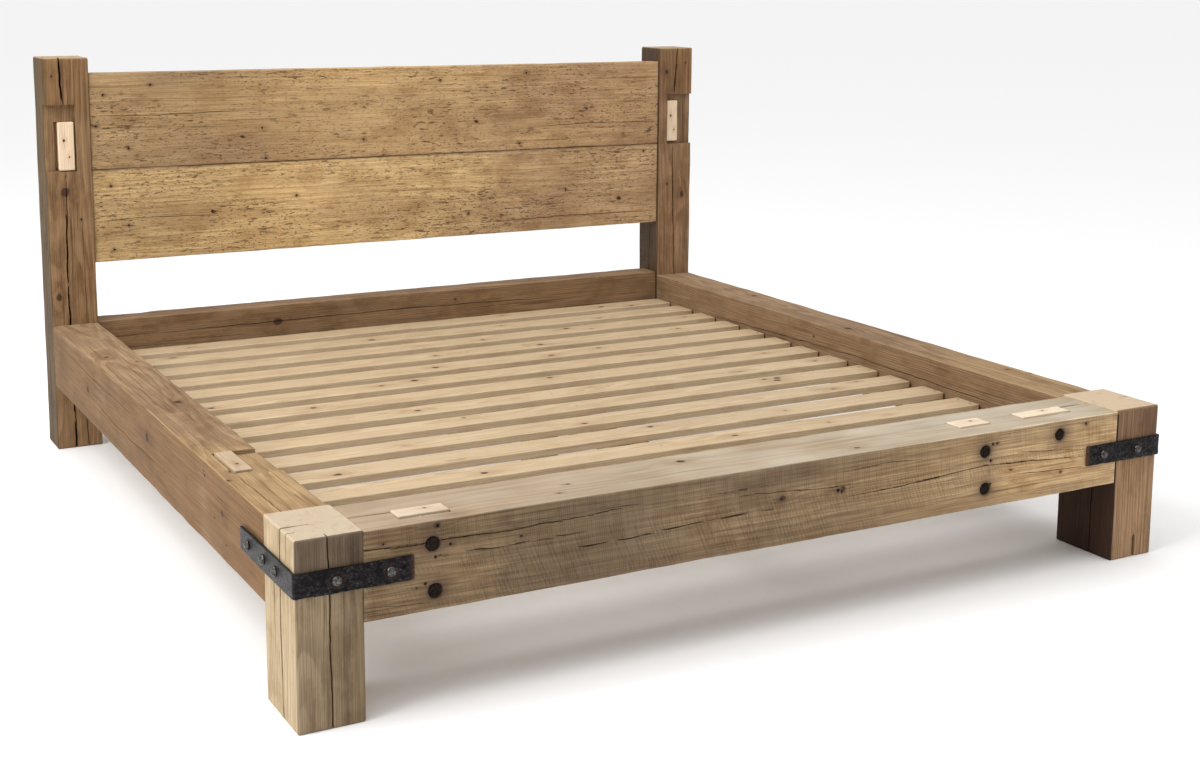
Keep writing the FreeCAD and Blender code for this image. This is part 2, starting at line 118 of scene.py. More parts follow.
def timber(box, grain, seed, arris=0.004, end_arris=0.0015, wane=0.003, rough=0.0007,
           step=(0.006, 0.003), checks=(), cuts=(), holes=(), knots=(), stains=()):
    """The skin of a sawn timber, as rings round its section with four wear and shade values at each
    point. Section: a rectangle whose corners are arcs. Height off it: slow and fine random waves, less
    hollows worn in the arrises, less V-shaped checks that follow a wandering line, less round nail
    holes. A cut is a box let in from one face: points inside it drop to its floor. The four values
    are painted shade in hollows (check floors, nail holes, cut floors), arris, iron stain, and
    distance from the nearest knot in knot radii."""
    low, high = np.array(box[0]), np.array(box[1])
    g = "xyz".index(grain)
    a, b = (g + 1) % 3, (g + 2) % 3
    centre, half = (low + high) / 2, (high - low) / 2
    ha, hb = half[a], half[b]
    girth = 4 * (ha + hb)
    corners = np.array([0, 2 * ha, 2 * ha + 2 * hb, 4 * ha + 2 * hb])

    def around(face, across):
        """Distance round the section of a place on a face."""
        if "xyz".index(face[1]) == b:
            off = np.asarray(across) - centre[a]
            return ha + off if face[0] == "-" else corners[2] + ha - off
        off = np.asarray(across) - centre[b]
        return corners[1] + hb + off if face[0] == "+" else corners[3] + hb - off

    # grid lines along the grain and round the section
    ends = end_arris * np.array([0, 0.1, 0.35, 0.7, 1.0])
    marks = list(low[g] + ends) + list(high[g] - ends)
    ring_marks = [c + arris * k for c in (*corners, girth) for k in (-1, -0.75, -0.4, 0, 0.4, 0.75, 1)]
    for face, path, width, depth in checks:
        middle = float(np.mean([around(face, across) for _, across in path]))
        ring_marks += [middle + width * k for k in (-2, -1.05, -0.5, 0, 0.5, 1.05, 2)]
    for face, cut_low, cut_high in cuts:
        marks += [cut_low[g] - 4e-4, cut_low[g] + 4e-4, cut_high[g] - 4e-4, cut_high[g] + 4e-4]
        other = a if "xyz".index(face[1]) == b else b
        for edge in (cut_low[other], cut_high[other]):
            if low[other] < edge < high[other]:
                ring_marks += [around(face, edge) - 4e-4, around(face, edge) + 4e-4]
        opened = "xyz".index(face[1])
        floor = cut_high[opened] if face[0] == "-" else cut_low[opened]
        for side, edge in (("-", low[other]), ("+", high[other])):
            if not cut_low[other] < edge < cut_high[other]:
                continue
            flank = around(side + "xyz"[other], floor)
            ring_marks += [flank - 4e-4, flank + 4e-4]
    for face, along, across, radius, depth in holes:
        spread = np.linspace(-1.1, 1.1, 2 * max(2, round(radius / 0.003)) + 1) * radius
        marks += list(along + spread)
        ring_marks += list(around(face, across) + spread)
    u = lines(low[g], high[g], step[0], marks)
    s = lines(0, girth, step[1], [m % girth for m in ring_marks])[:-1]
    u_grid = np.broadcast_to(u[:, None], (len(u), len(s)))
    s_grid = np.broadcast_to(s, u_grid.shape).copy()

    # each check bends the lines near it along its own path
    hollow = np.zeros(u_grid.shape)
    tracks = []
    for number, (face, path, width, depth) in enumerate(checks):
        place = around(face, np.interp(u, [p[0] for p in path], [p[1] for p in path]))
        wander = np.stack([u, 0 * u, 0 * u], -1)
        place = place + 0.0016 * drift(wander, (0.05, 1, 1), seed + 40 + number)
        place += 0.0006 * drift(wander, (0.012, 1, 1), seed + 60 + number)
        middle = float(np.mean([around(face, across) for _, across in path]))
        reach = max(0.022, 2.6 * np.abs(place - middle).max())
        gap = (s - middle + girth / 2) % girth - girth / 2
        pull = np.clip(1.3 * (1 - np.abs(gap) / reach), 0, 1)
        s_grid += (place - middle)[:, None] * pull * pull * (3 - 2 * pull)
        tracks.append(place)
    s_grid %= girth

    # section: a rectangle with its corners turned to arcs
    pa = np.clip(s_grid, 0, 2 * ha) - np.clip(s_grid - corners[2], 0, 2 * ha) - ha
    pb = np.clip(s_grid - corners[1], 0, 2 * hb) - np.clip(s_grid - corners[3], 0, 2 * hb) - hb
    flat = np.zeros((*u_grid.shape, 3))
    flat[..., g], flat[..., a], flat[..., b] = u_grid, centre[a] + pa, centre[b] + pb
    slow = drift(flat, (0.11, 0.11, 0.11), seed)
    radius = arris * (1 + 0.12 * drift(flat, (0.06, 0.06, 0.06), seed + 1))
    qa = np.clip(pa, radius - ha, ha - radius)
    qb = np.clip(pb, radius - hb, hb - radius)
    da, db = pa - qa, pb - qb
    length = np.maximum(np.hypot(da, db), 1e-9)
    na, nb = da / length, db / length

    # height off the section
    stretch = np.array([0.0, 0.0, 0.0])
    stretch[g], stretch[a], stretch[b] = 0.16, 0.012, 0.012
    height = rough * (0.7 * slow + 0.6 * drift(flat, stretch, seed + 2) - 0.9)
    to_corner = np.abs((s_grid[..., None] - np.append(corners, girth))).min(axis=-1)
    knocked = np.clip(drift(flat, (0.07, 0.25, 0.25), seed + 3) - 0.15, 0, 1)
    knocked += 0.6 * np.clip(drift(flat, (0.018, 0.25, 0.25), seed + 4) - 0.35, 0, 1)
    nearest = np.abs(s_grid[..., None] - np.append(corners, girth)).argmin(axis=-1) % 4
    height -= (np.ones(4) * wane)[nearest] * knocked * np.exp(-to_corner / 0.009)
    to_end = np.minimum(u - low[g], high[g] - u)
    inset = end_arris - np.sqrt(np.maximum(0, end_arris ** 2 - np.clip(end_arris - to_end, 0, None) ** 2))
    height -= inset[:, None]
    for (face, path, width, depth), place in zip(checks, tracks):
        first, last = path[0][0], path[-1][0]
        taper = 0.25 * (last - first)
        fade_in = 1.0 if first <= low[g] + 1e-4 else np.clip((u - first) / taper, 0, 1)
        fade_out = 1.0 if last >= high[g] - 1e-4 else np.clip((last - u) / taper, 0, 1)
        open_by = np.sqrt(np.clip(fade_in * fade_out, 0, 1)) * ((u >= first) & (u <= last))
        breadth = width * np.maximum(open_by, 0.05)
        gap = np.abs((s_grid - place[:, None] + girth / 2) % girth - girth / 2) / breadth[:, None]
        sink = depth * open_by[:, None] * np.clip(1 - gap, 0, 1) ** 0.7
        height -= sink
        # painted shade: a check's floor darkens with its depth
        hollow = np.maximum(hollow, np.clip(sink / 0.006, 0, 1))
    stain = np.zeros(u_grid.shape)
    for face, along, across, radius, depth in holes:
        gap = (s_grid - around(face, across) + girth / 2) % girth - girth / 2
        far = np.hypot(gap, u_grid - along) / radius
        height -= depth * np.sqrt(np.clip(1 - far ** 2, 0, 1))
        # painted shade in a nail hole, darkest at its middle
        hollow = np.maximum(hollow, np.clip(1.4 - far, 0, 1))
        stain = np.maximum(stain, np.exp(-(far / 2.2) ** 2))
    for face, along, across, half_along, half_across, strength in stains:
        gap = (s_grid - around(face, across) + girth / 2) % girth - girth / 2
        ragged = 1 + 0.7 * drift(flat, (0.008, 0.008, 0.008), seed + 7)
        far = np.hypot(gap / half_across, (u_grid - along) / half_along) * ragged
        stain = np.maximum(stain, strength * np.exp(-far ** 2))
    rings = flat.copy()
    rings[..., a] = centre[a] + qa + na * (radius + height)
    rings[..., b] = centre[b] + qb + nb * (radius + height)
    for face, cut_low, cut_high in cuts:
        opened = "xyz".index(face[1])
        box_low, box_high = np.array(cut_low, float), np.array(cut_high, float)
        floor = box_high[opened] if face[0] == "-" else box_low[opened]
        (box_low if face[0] == "-" else box_high)[opened] += -0.05 if face[0] == "-" else 0.05
        inside = np.all((rings > box_low) & (rings < box_high), axis=-1)
        bed = floor + 0.01 * (rings[..., opened] - floor) + 0.0006 * drift(flat, (0.03, 0.03, 0.03), seed + 5)
        rings[..., opened] = np.where(inside, bed, rings[..., opened])
        # painted shade on the floor of a cut, a little darker than the face round it
        hollow = np.where(inside, np.maximum(hollow, 0.06), hollow)
    edge = np.maximum(np.exp(-to_corner / 0.005), np.exp(-to_end / 0.004)[:, None])
    knot = np.full(u_grid.shape, 8.0)
    for face, along, across, size in knots:
        gap = (s_grid - around(face, across) + girth / 2) % girth - girth / 2
        near = np.hypot(gap, (u_grid - along) / 1.15) / size
        long = 1.15 + 1.3 * np.clip((near - 1) / 3, 0, 1)
        ragged = 1 + 0.22 * drift(flat, (size, size, size), seed + 8)
        knot = np.minimum(knot, np.hypot(gap, (u_grid - along) / long) / size * ragged)
    wear_and_shade = np.stack([hollow, edge, stain, knot], -1)

    # end faces: the last ring drawn in towards the middle
    shells, values = [], []
    pulls = np.array([0.03, 0.07, 0.13, 0.21, 0.31, 0.43, 0.56, 0.7, 0.84, 0.95])
    for row, sign in ((0, -1), (-1, 1)):
        middle = centre.copy()
        middle[g] = u[row]
        cap = rings[row] + (middle - rings[row]) * pulls[:, None, None]
        cap[..., g] += sign * 0.0004 * (drift(cap, (0.004, 0.004, 0.004), seed + 6) - 1)
        faded = wear_and_shade[row] * np.exp(-pulls / 0.05)[:, None, None]
        faded[..., 3] = 8.0
        shells.append(cap if sign > 0 else cap[::-1])
        values.append(faded if sign > 0 else faded[::-1])
    return (np.concatenate([shells[0], rings, shells[1]]), np.concatenate([values[0], wear_and_shade, values[1]]))


def put(tree, kind, inputs, **settings):
    """One shader node: each input is a value or another node's output. Gives back its outputs."""
    node = tree.nodes.new("ShaderNode" + kind)
    for name, value in settings.items():
        setattr(node, name, value)
    for name, value in inputs.items():
        if isinstance(value, bpy.types.NodeSocket):
            tree.links.new(value, node.inputs[name])
        else:
            node.inputs[name].default_value = value
    return node.outputs


def sums(tree, operation, a, b=0.0):
    return put(tree, "Math", {0: a, 1: b}, operation=operation)[0]


def tint(tree, share, a, b, blend="MIX"):
    """Colour a turned into colour b by a share."""
    return put(tree, "Mix", {0: share, 6: a, 7: b}, data_type="RGBA", blend_type=blend)[2]


def rise(tree, value, low, high, top=1.0):
    """Smooth step from 0 to a top value as the value goes from low to high."""
    inputs = {"Value": value, "From Min": low, "From Max": high, "To Min": 0.0, "To Max": top}
    return put(tree, "MapRange", inputs, interpolation_type="SMOOTHSTEP")[0]


def shade(red, green, blue):
    return (red, green, blue, 1.0)


def old_wood(name, grain, pith, early, late, dirt, grey, ring=0.006, contrast=0.6, greying=0.5,
             streaks=0.5, age=1.0, saw=0.0, saw_slant=0.0, saw_to=9.0, flecks=0.0, worn=None, planed=None,
             shade_and_tone_washes=(), gloss=0.55, seed=0.0):
    """Old softwood, solid through the timber. Growth rings: the distance from a pith line, bent by
    slow noise, over the ring width, its fraction turned to pale early and dark late wood. On that:
    fibres, dirt streaks and weathered grey from noise drawn out along the grain, and saw marks from
    noise drawn out across it. Painted shade in hollows, worn arrises, nail stains and knots come from
    the wear and shade values."""
    material = bpy.data.materials.new(name)
    material.use_nodes = True
    tree = material.node_tree
    tree.nodes.clear()
    place = put(tree, "TexCoord", {})["Object"]
    world = put(tree, "SeparateXYZ", {0: place})
    split = put(tree, "SeparateXYZ", {0: put(tree, "VectorMath", {0: place, 1: pith}, operation="SUBTRACT")[0]})
    g = "xyz".index(grain)
    along, across, upright = split[g], split[(g + 1) % 3], split[(g + 2) % 3]
    local = put(tree, "CombineXYZ", {0: along, 1: across, 2: upright})[0]
    wear_and_shade = put(tree, "Attribute", {}, attribute_name="wear_and_shade")
    wear_and_shade_parts = put(tree, "SeparateColor", {0: wear_and_shade["Color"]})
    hollow, arris, stain, knot = wear_and_shade_parts[0], wear_and_shade_parts[1], wear_and_shade_parts[2], wear_and_shade["Alpha"]

    def noise(k_along, k_across, detail=3.0, rough=0.55, output=0):
        scaled = put(tree, "VectorMath", {0: local, 1: (k_along, k_across, k_across)}, operation="MULTIPLY")[0]
        moved = put(tree, "VectorMath", {0: scaled, 1: (seed, 3.1 * seed, 1.7 * seed)}, operation="ADD")[0]
        return put(tree, "TexNoise", {"Vector": moved, "Scale": 1.0, "Detail": detail, "Roughness": rough})[output]

    # growth rings
    sway = put(tree, "VectorMath", {0: noise(1.1, 5.0, 2.0, 0.5, 1), 1: (0.5, 0.5, 0.5)}, operation="SUBTRACT")[0]
    sway = put(tree, "VectorMath", {0: sway, 1: (0.0, 0.055, 0.055)}, operation="MULTIPLY")[0]
    flat = put(tree, "VectorMath", {0: local, 1: (0.0, 1.0, 1.0)}, operation="MULTIPLY")[0]
    radius = put(tree, "VectorMath", {0: put(tree, "VectorMath", {0: flat, 1: sway}, operation="ADD")[0]},
                 operation="LENGTH")["Value"]
    near_knot = sums(tree, "EXPONENT", sums(tree, "MULTIPLY", sums(tree, "MULTIPLY", knot, knot), -0.22))
    phase = sums(tree, "MULTIPLY", radius, 1 / ring)
    phase = sums(tree, "ADD", phase, sums(tree, "MULTIPLY", noise(0.8, 14.0, 2.0), 1.6))
    phase = sums(tree, "ADD", phase, sums(tree, "MULTIPLY", near_knot, 1.3))
    part = sums(tree, "FRACT", phase)
    band = sums(tree, "SUBTRACT", rise(tree, part, 0.15, 0.86), rise(tree, part, 0.88, 0.99))
    band = sums(tree, "MULTIPLY", band, contrast)
    colour = tint(tree, band, shade(*early), shade(*late))

    # fibres, streaks of dirt, weathered grey
    fibre = noise(5.0, 420.0, 4.0, 0.65)
    colour = tint(tree, rise(tree, fibre, 0.38, 0.62, 0.30 + 0.50 * age), colour, tint(tree, 1.0, colour, shade(0.56, 0.50, 0.43), "MULTIPLY"))
    hair = noise(2.6, 150.0, 3.0, 0.6)
    colour = tint(tree, rise(tree, hair, 0.58, 0.70, 0.15 + 0.60 * age), colour, tint(tree, 1.0, colour, shade(0.42, 0.34, 0.26), "MULTIPLY"))
    broad = noise(1.4, 4.5, 3.0, 0.6)
    patina = rise(tree, broad, 0.42, 0.66, greying)
    colour = tint(tree, patina, colour, shade(*grey))
    streak = noise(1.7, 46.0, 4.0, 0.6)
    colour = tint(tree, rise(tree, streak, 0.52, 0.78, streaks), colour, shade(*dirt))
    mottled = noise(9.0, 16.0, 4.0, 0.65)
    colour = tint(tree, rise(tree, mottled, 0.42, 0.68, 0.20 + 0.55 * age), colour, tint(tree, 1.0, colour, shade(0.66, 0.58, 0.48), "MULTIPLY"))
    height = sums(tree, "ADD", sums(tree, "MULTIPLY", band, 0.35), sums(tree, "MULTIPLY", fibre, 0.9))
    height = sums(tree, "SUBTRACT", height, rise(tree, hair, 0.58, 0.70, 0.6 * age))

    # marks of the saw, across the grain
    if saw:
        cuts = []
        coarse = sums(tree, "SUBTRACT", 1.0, rise(tree, upright, 0.11, 0.16))
        for pitch, lean, low, bands, depth in ((0.0095, saw_slant, 0.40, 1.3, coarse), (0.0048, 0.10, -0.1, 1.3, 0.9)):
            slanted = sums(tree, "ADD", along, sums(tree, "MULTIPLY", upright, lean))
            slanted = sums(tree, "ADD", slanted, sums(tree, "MULTIPLY", noise(9.0, 9.0, 1.0, 0.5), 0.9 * pitch))
            teeth = put(tree, "CombineXYZ", {0: sums(tree, "MULTIPLY", slanted, 0.7 / pitch),
                                             1: sums(tree, "MULTIPLY", across, 9.0), 2: sums(tree, "MULTIPLY", upright, 9.0)})[0]
            weight = put(tree, "TexNoise", {"Vector": teeth, "Scale": 1.0, "Detail": 1.0, "Roughness": 0.5})[0]
            line = rise(tree, sums(tree, "SINE", sums(tree, "MULTIPLY", slanted, 2 * math.pi / pitch)), low, 0.95, depth)
            patch = rise(tree, noise(bands, 6.5, 3.0, 0.6), 0.36, 0.52)
            cuts.append(sums(tree, "MULTIPLY", sums(tree, "MULTIPLY", line, rise(tree, weight, 0.38, 0.62)), patch))
        marks = sums(tree, "MAXIMUM", *cuts)
        marks = sums(tree, "MULTIPLY", marks, sums(tree, "SUBTRACT", 1.0, rise(tree, world[1], saw_to, saw_to + 0.002)))
        colour = tint(tree, sums(tree, "MULTIPLY", marks, saw), colour, tint(tree, 1.0, colour, shade(0.42, 0.37, 0.31), "MULTIPLY"))
        height = sums(tree, "SUBTRACT", height, sums(tree, "MULTIPLY", marks, 1.1))
    if flecks:
        where = rise(tree, noise(2.4, 7.0, 3.0, 0.6), 0.34, 0.60)
        spots = sums(tree, "MAXIMUM", rise(tree, noise(30.0, 170.0, 2.0, 0.5), 0.60, 0.68), rise(tree, noise(70.0, 210.0, 2.0, 0.5), 0.58, 0.68))
        spots = sums(tree, "MAXIMUM", spots, rise(tree, noise(150.0, 260.0, 1.0, 0.4), 0.60, 0.74, 0.7))
        spots = sums(tree, "MULTIPLY", spots, sums(tree, "ADD", 0.25, sums(tree, "MULTIPLY", where, 0.75)))
        colour = tint(tree, sums(tree, "MULTIPLY", spots, flecks), colour, shade(0.085, 0.048, 0.022))
        height = sums(tree, "SUBTRACT", height, sums(tree, "MULTIPLY", spots, 0.8))

    if planed:
        level, fresh, share = planed
        cleaned = rise(tree, sums(tree, "ADD", world[2], sums(tree, "MULTIPLY", broad, 0.004)), level - 0.001, level + 0.003, share)
        fresh_wood = tint(tree, sums(tree, "MULTIPLY", band, 0.5), shade(*fresh), tint(tree, 1.0, shade(*fresh), shade(0.70, 0.60, 0.48), "MULTIPLY"))
        fresh_wood = tint(tree, rise(tree, streak, 0.5, 0.8, 0.45), fresh_wood, tint(tree, 1.0, fresh_wood, shade(0.62, 0.52, 0.42), "MULTIPLY"))
        colour = tint(tree, cleaned, colour, fresh_wood)

    # knots, worn arrises, nail stains and painted shade in hollows
    knot_rings = sums(tree, "SINE", sums(tree, "MULTIPLY", knot, 17.0))
    heart = tint(tree, rise(tree, knot_rings, -0.6, 0.9, 0.7), shade(0.085, 0.045, 0.022), shade(0.025, 0.014, 0.008))
    colour = tint(tree, sums(tree, "SUBTRACT", 1.0, rise(tree, knot, 0.80, 1.15)), colour, heart)
    halo = sums(tree, "MULTIPLY", near_knot, 0.6)
    colour = tint(tree, halo, colour, tint(tree, 1.0, colour, shade(0.62, 0.48, 0.36), "MULTIPLY"))
    rubbed = sums(tree, "MULTIPLY", arris, rise(tree, noise(12.0, 60.0), 0.40, 0.60, 0.55))
    colour = tint(tree, rubbed, colour, shade(*(worn or early)))

    # zones of the skin painted darker or paler by a multiplying tone: on some faces this is painted
    # # shade, the others only make a stretch darker or paler
    for bounds, wash in shade_and_tone_washes:
        share = 1.0
        for axis, side, level, width in bounds:
            ragged = sums(tree, "ADD", world["xyz".index(axis)], sums(tree, "MULTIPLY", mottled, width))
            edge = rise(tree, sums(tree, "MULTIPLY", ragged, side), side * (level + 0.5 * width) - width, side * (level + 0.5 * width))
            share = sums(tree, "MULTIPLY", share, edge)
        colour = tint(tree, share, colour, tint(tree, 1.0, colour, shade(*wash), "MULTIPLY"))
    colour = tint(tree, sums(tree, "MULTIPLY", stain, 0.75), colour, shade(0.085, 0.044, 0.026))
    # painted shade: hollows (check floors, nail holes, cut floors) darkened towards black
    colour = tint(tree, sums(tree, "MULTIPLY", hollow, 0.93), colour, shade(0.016, 0.010, 0.006))

    rough = sums(tree, "ADD", gloss, sums(tree, "MULTIPLY", fibre, 0.28))
    relief = put(tree, "Bump", {"Strength": 0.55, "Distance": 0.0011, "Height": height})[0]
    finish = put(tree, "BsdfPrincipled", {"Base Color": colour, "Roughness": rough, "Normal": relief,
                                          "Specular IOR Level": 0.32})[0]
    put(tree, "OutputMaterial", {"Surface": finish})
    return material


FOOT_POST_TONES = dict(early=(0.58, 0.46, 0.29), late=(0.35, 0.245, 0.14), dirt=(0.16, 0.11, 0.065),
                       grey=(0.33, 0.265, 0.19), worn=(0.52, 0.41, 0.27))
post_low, post_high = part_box("foot_post_left")
front_y, outer_x = post_low[1], post_low[0]
post_top = post_high[2]
on_front = ("y", -1, front_y + 0.0035, 0.002)
foot_left_checks = (
    ("-x", ((0.0, front_y + 0.085), (0.2, front_y + 0.093), (post_high[2], front_y + 0.088)), 0.0030, 0.056),
    ("-y", ((0.0, outer_x + 0.070), (0.25, outer_x + 0.068), (post_high[2], outer_x + 0.066)), 0.0016, 0.016),
    ("-x", ((0.325, front_y + 0.058), (post_high[2], front_y + 0.052)), 0.0018, 0.014),
    ("-x", ((0.22, front_y + 0.128), (0.30, front_y + 0.126)), 0.0028, 0.010),
)
skin("foot_post_left_timber",
     [timber((post_low, post_high), "z", 11, arris=0.0045, end_arris=0.004, wane=0.004, step=(0.005, 0.003),
             checks=foot_left_checks)],
     old_wood("foot_post_left_wood", "z", (outer_x + 0.03, front_y + 0.30, 0.0), ring=0.0052, greying=0.35,
              planed=(post_top - 0.002, (0.47, 0.385, 0.285), 0.88), seed=2.0,
              # the first wash is painted shade over the whole front face; the next two only darken the top and the
              # inner part of the front
              shade_and_tone_washes=(((on_front,), (0.60, 0.57, 0.55)), ((on_front, ("z", 1, 0.325, 0.02)), (0.50, 0.48, 0.49)),
                      ((on_front, ("x", 1, outer_x + 0.13, 0.05)), (0.75, 0.72, 0.66))), **FOOT_POST_TONES),
     ["foot_post_left"])
post_low, post_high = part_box("foot_post_right")
foot_right_checks = (
    ("-y", ((0.0, post_low[0] + 0.079), (0.058, post_low[0] + 0.077)), 0.0046, 0.030),
    ("-x", ((0.0, front_y + 0.075), (0.24, front_y + 0.070)), 0.0018, 0.018),
    ("+x", ((0.10, front_y + 0.110), (post_high[2], front_y + 0.100)), 0.0018, 0.030),
)
skin("foot_post_right_timber",
     [timber((post_low, post_high), "z", 12, arris=0.0045, end_arris=0.004, wane=0.004, step=(0.005, 0.003),
             checks=foot_right_checks)],
     old_wood("foot_post_right_wood", "z", (post_high[0] + 0.05, front_y + 0.26, 0.0), ring=0.0046, greying=0.30,
              planed=(post_top - 0.002, (0.57, 0.44, 0.305), 0.88), seed=5.0,
              # the first wash is painted shade over the front face, and the last paints the inner side below the top
              # nearly black as shade; the second only darkens the top of the front
              shade_and_tone_washes=(((on_front,), (0.74, 0.58, 0.49)), ((on_front, ("z", 1, 0.31, 0.02)), (0.60, 0.56, 0.56)),
                      ((("x", -1, post_low[0] + 0.004, 0.002), ("z", -1, post_top - 0.012, 0.004)), (0.088, 0.046, 0.029))),
              **FOOT_POST_TONES),
     ["foot_post_right"])

# ---- Foot rail ----
# One heavy beam across the foot, tenoned into both posts. Its top is freshly planed and pale; its
# front keeps the grey-brown skin of the barn, the marks of the saw and the stains of old nails.
inner_left, inner_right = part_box("foot_post_left")[1][0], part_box("foot_post_right")[0][0]
rail_low, rail_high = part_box("foot_rail")
rail_box = ((inner_left - 0.002, rail_low[1], rail_low[2]), (inner_right + 0.002, rail_high[1], rail_high[2]))
rail_top = rail_high[2]
old_pegs = ((-0.843, 0.337), (-0.838, 0.240), (0.565, 0.337), (0.568, 0.246), (0.799, 0.349))
foot_rail_plugs = [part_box("foot_rail_plug_" + side) for side in ("left", "middle", "right")]


def let_in(block, face, gap, depth, level):
    """The hollow round a let-in block: its box grown by a gap, sunk from a face at this level."""
    low, high = np.array(block[0]) - gap, np.array(block[1]) + gap
    axis = "xyz".index(face[1])
    low[axis], high[axis] = (level, level + depth) if face[0] == "-" else (level - depth, level)
    return (face, tuple(low), tuple(high))


foot_rail_checks = (
    ("-y", ((-0.990, 0.346), (-0.92, 0.341), (-0.830, 0.341), (-0.690, 0.338), (-0.574, 0.342), (-0.40, 0.345)), 0.0007, 0.012),
    ("-y", ((-0.859, 0.311), (-0.823, 0.311), (-0.697, 0.308), (-0.628, 0.307), (-0.500, 0.309)), 0.0006, 0.008),
    ("-y", ((-0.649, 0.286), (-0.566, 0.279), (-0.392, 0.279), (-0.213, 0.287), (-0.021, 0.289)), 0.0008, 0.012),
    ("-y", ((0.141, 0.284), (0.311, 0.288), (0.560, 0.302), (0.700, 0.296), (0.885, 0.285)), 0.0007, 0.010),
    ("-y", ((0.660, 0.271), (0.76, 0.262), (0.879, 0.258)), 0.0007, 0.008),
    ("-y", ((0.657, 0.323), (0.76, 0.312), (0.870, 0.304)), 0.0005, 0.006),
    ("-y", ((-0.127, 0.328), (0.004, 0.323), (0.113, 0.314), (0.185, 0.313)), 0.0006, 0.006),
    ("-y", ((0.150, 0.343), (0.279, 0.349), (0.395, 0.343)), 0.0005, 0.004),
    ("-y", ((-0.985, 0.227), (-0.93, 0.224), (-0.85, 0.219)), 0.0005, 0.004),
    ("-y", ((-0.471, 0.351), (-0.42, 0.349), (-0.370, 0.346)), 0.0005, 0.004),
    ("+z", ((-0.985, -1.074), (-0.93, -1.078), (-0.885, -1.080)), 0.0014, 0.012),
    ("+z", ((-0.60, -1.105), (-0.36, -1.112), (-0.10, -1.108)), 0.0005, 0.004),
    ("+z", ((0.10, -1.060), (0.36, -1.066), (0.62, -1.072)), 0.0009, 0.007),
    ("+z", ((0.870, -1.074), (0.93, -1.070), (0.990, -1.068)), 0.0014, 0.012),
    ("-z", ((-0.70, -1.07), (0.10, -1.09), (0.80, -1.08)), 0.0012, 0.012),
    ("+y", ((-0.90, 0.29), (-0.20, 0.30), (0.40, 0.28)), 0.0007, 0.008),
)
foot_rail_holes = tuple(("-y", x, z, 0.0156, 0.010) for x, z in old_pegs) + (
    ("-y", -0.805, 0.330, 0.0028, 0.006), ("-y", -0.837, 0.309, 0.0030, 0.006), ("-y", -0.832, 0.372, 0.0036, 0.006),
    ("-y", -0.859, 0.258, 0.0030, 0.006), ("-y", -0.878, 0.252, 0.0022, 0.004), ("-y", -0.946, 0.352, 0.0020, 0.004),
    ("-y", 0.138, 0.304, 0.0040, 0.008), ("-y", 0.148, 0.300, 0.0028, 0.006), ("-y", -0.016, 0.306, 0.0030, 0.005),
    ("-y", 0.587, 0.352, 0.0036, 0.006), ("-y", 0.600, 0.353, 0.0030, 0.005), ("-y", 0.582, 0.313, 0.0036, 0.006),
    ("-y", 0.578, 0.290, 0.0034, 0.005), ("-y", 0.583, 0.256, 0.0034, 0.006), ("-y", 0.882, 0.366, 0.0034, 0.005),
    ("+z", -0.496, -1.076, 0.0028, 0.005), ("+z", -0.540, -1.120, 0.0022, 0.004), ("-y", -0.650, 0.322, 0.0024, 0.004),
)
foot_rail_knots = (("-y", 0.688, 0.230, 0.0062), ("-y", 0.668, 0.252, 0.0036), ("-y", 0.711, 0.235, 0.0036),
                   ("-y", 0.806, 0.255, 0.0042), ("-y", 0.646, 0.283, 0.0036), ("-y", 0.150, 0.306, 0.006),
                   ("-y", -0.012, 0.309, 0.006), ("-y", -0.835, 0.374, 0.007), ("+z", 0.22, -1.13, 0.007),
                   ("+z", -0.20, -1.04, 0.009), ("+y", -0.30, 0.25, 0.016), ("+y", 0.55, 0.33, 0.013))
foot_rail_stains = (
    ("-y", -0.689, 0.360, 0.011, 0.010, 1.0), ("-y", -0.686, 0.335, 0.006, 0.020, 0.8), ("-y", -0.685, 0.300, 0.005, 0.022, 0.7),
    ("-y", -0.681, 0.250, 0.006, 0.018, 0.8), ("-y", -0.660, 0.343, 0.010, 0.006, 0.9), ("-y", -0.668, 0.320, 0.004, 0.012, 0.6),
    ("-y", -0.648, 0.318, 0.004, 0.012, 0.6), ("-y", -0.845, 0.362, 0.008, 0.012, 0.5), ("-y", 0.105, 0.303, 0.004, 0.012, 0.8),
    ("-y", 0.125, 0.308, 0.020, 0.0035, 0.8), ("-y", 0.585, 0.300, 0.014, 0.018, 0.4), ("-y", 0.60, 0.250, 0.012, 0.02, 0.35),
    ("-y", -0.843, 0.337, 0.022, 0.022, 0.35), ("-y", -0.838, 0.240, 0.022, 0.022, 0.35), ("-y", 0.565, 0.337, 0.02, 0.02, 0.3),
)
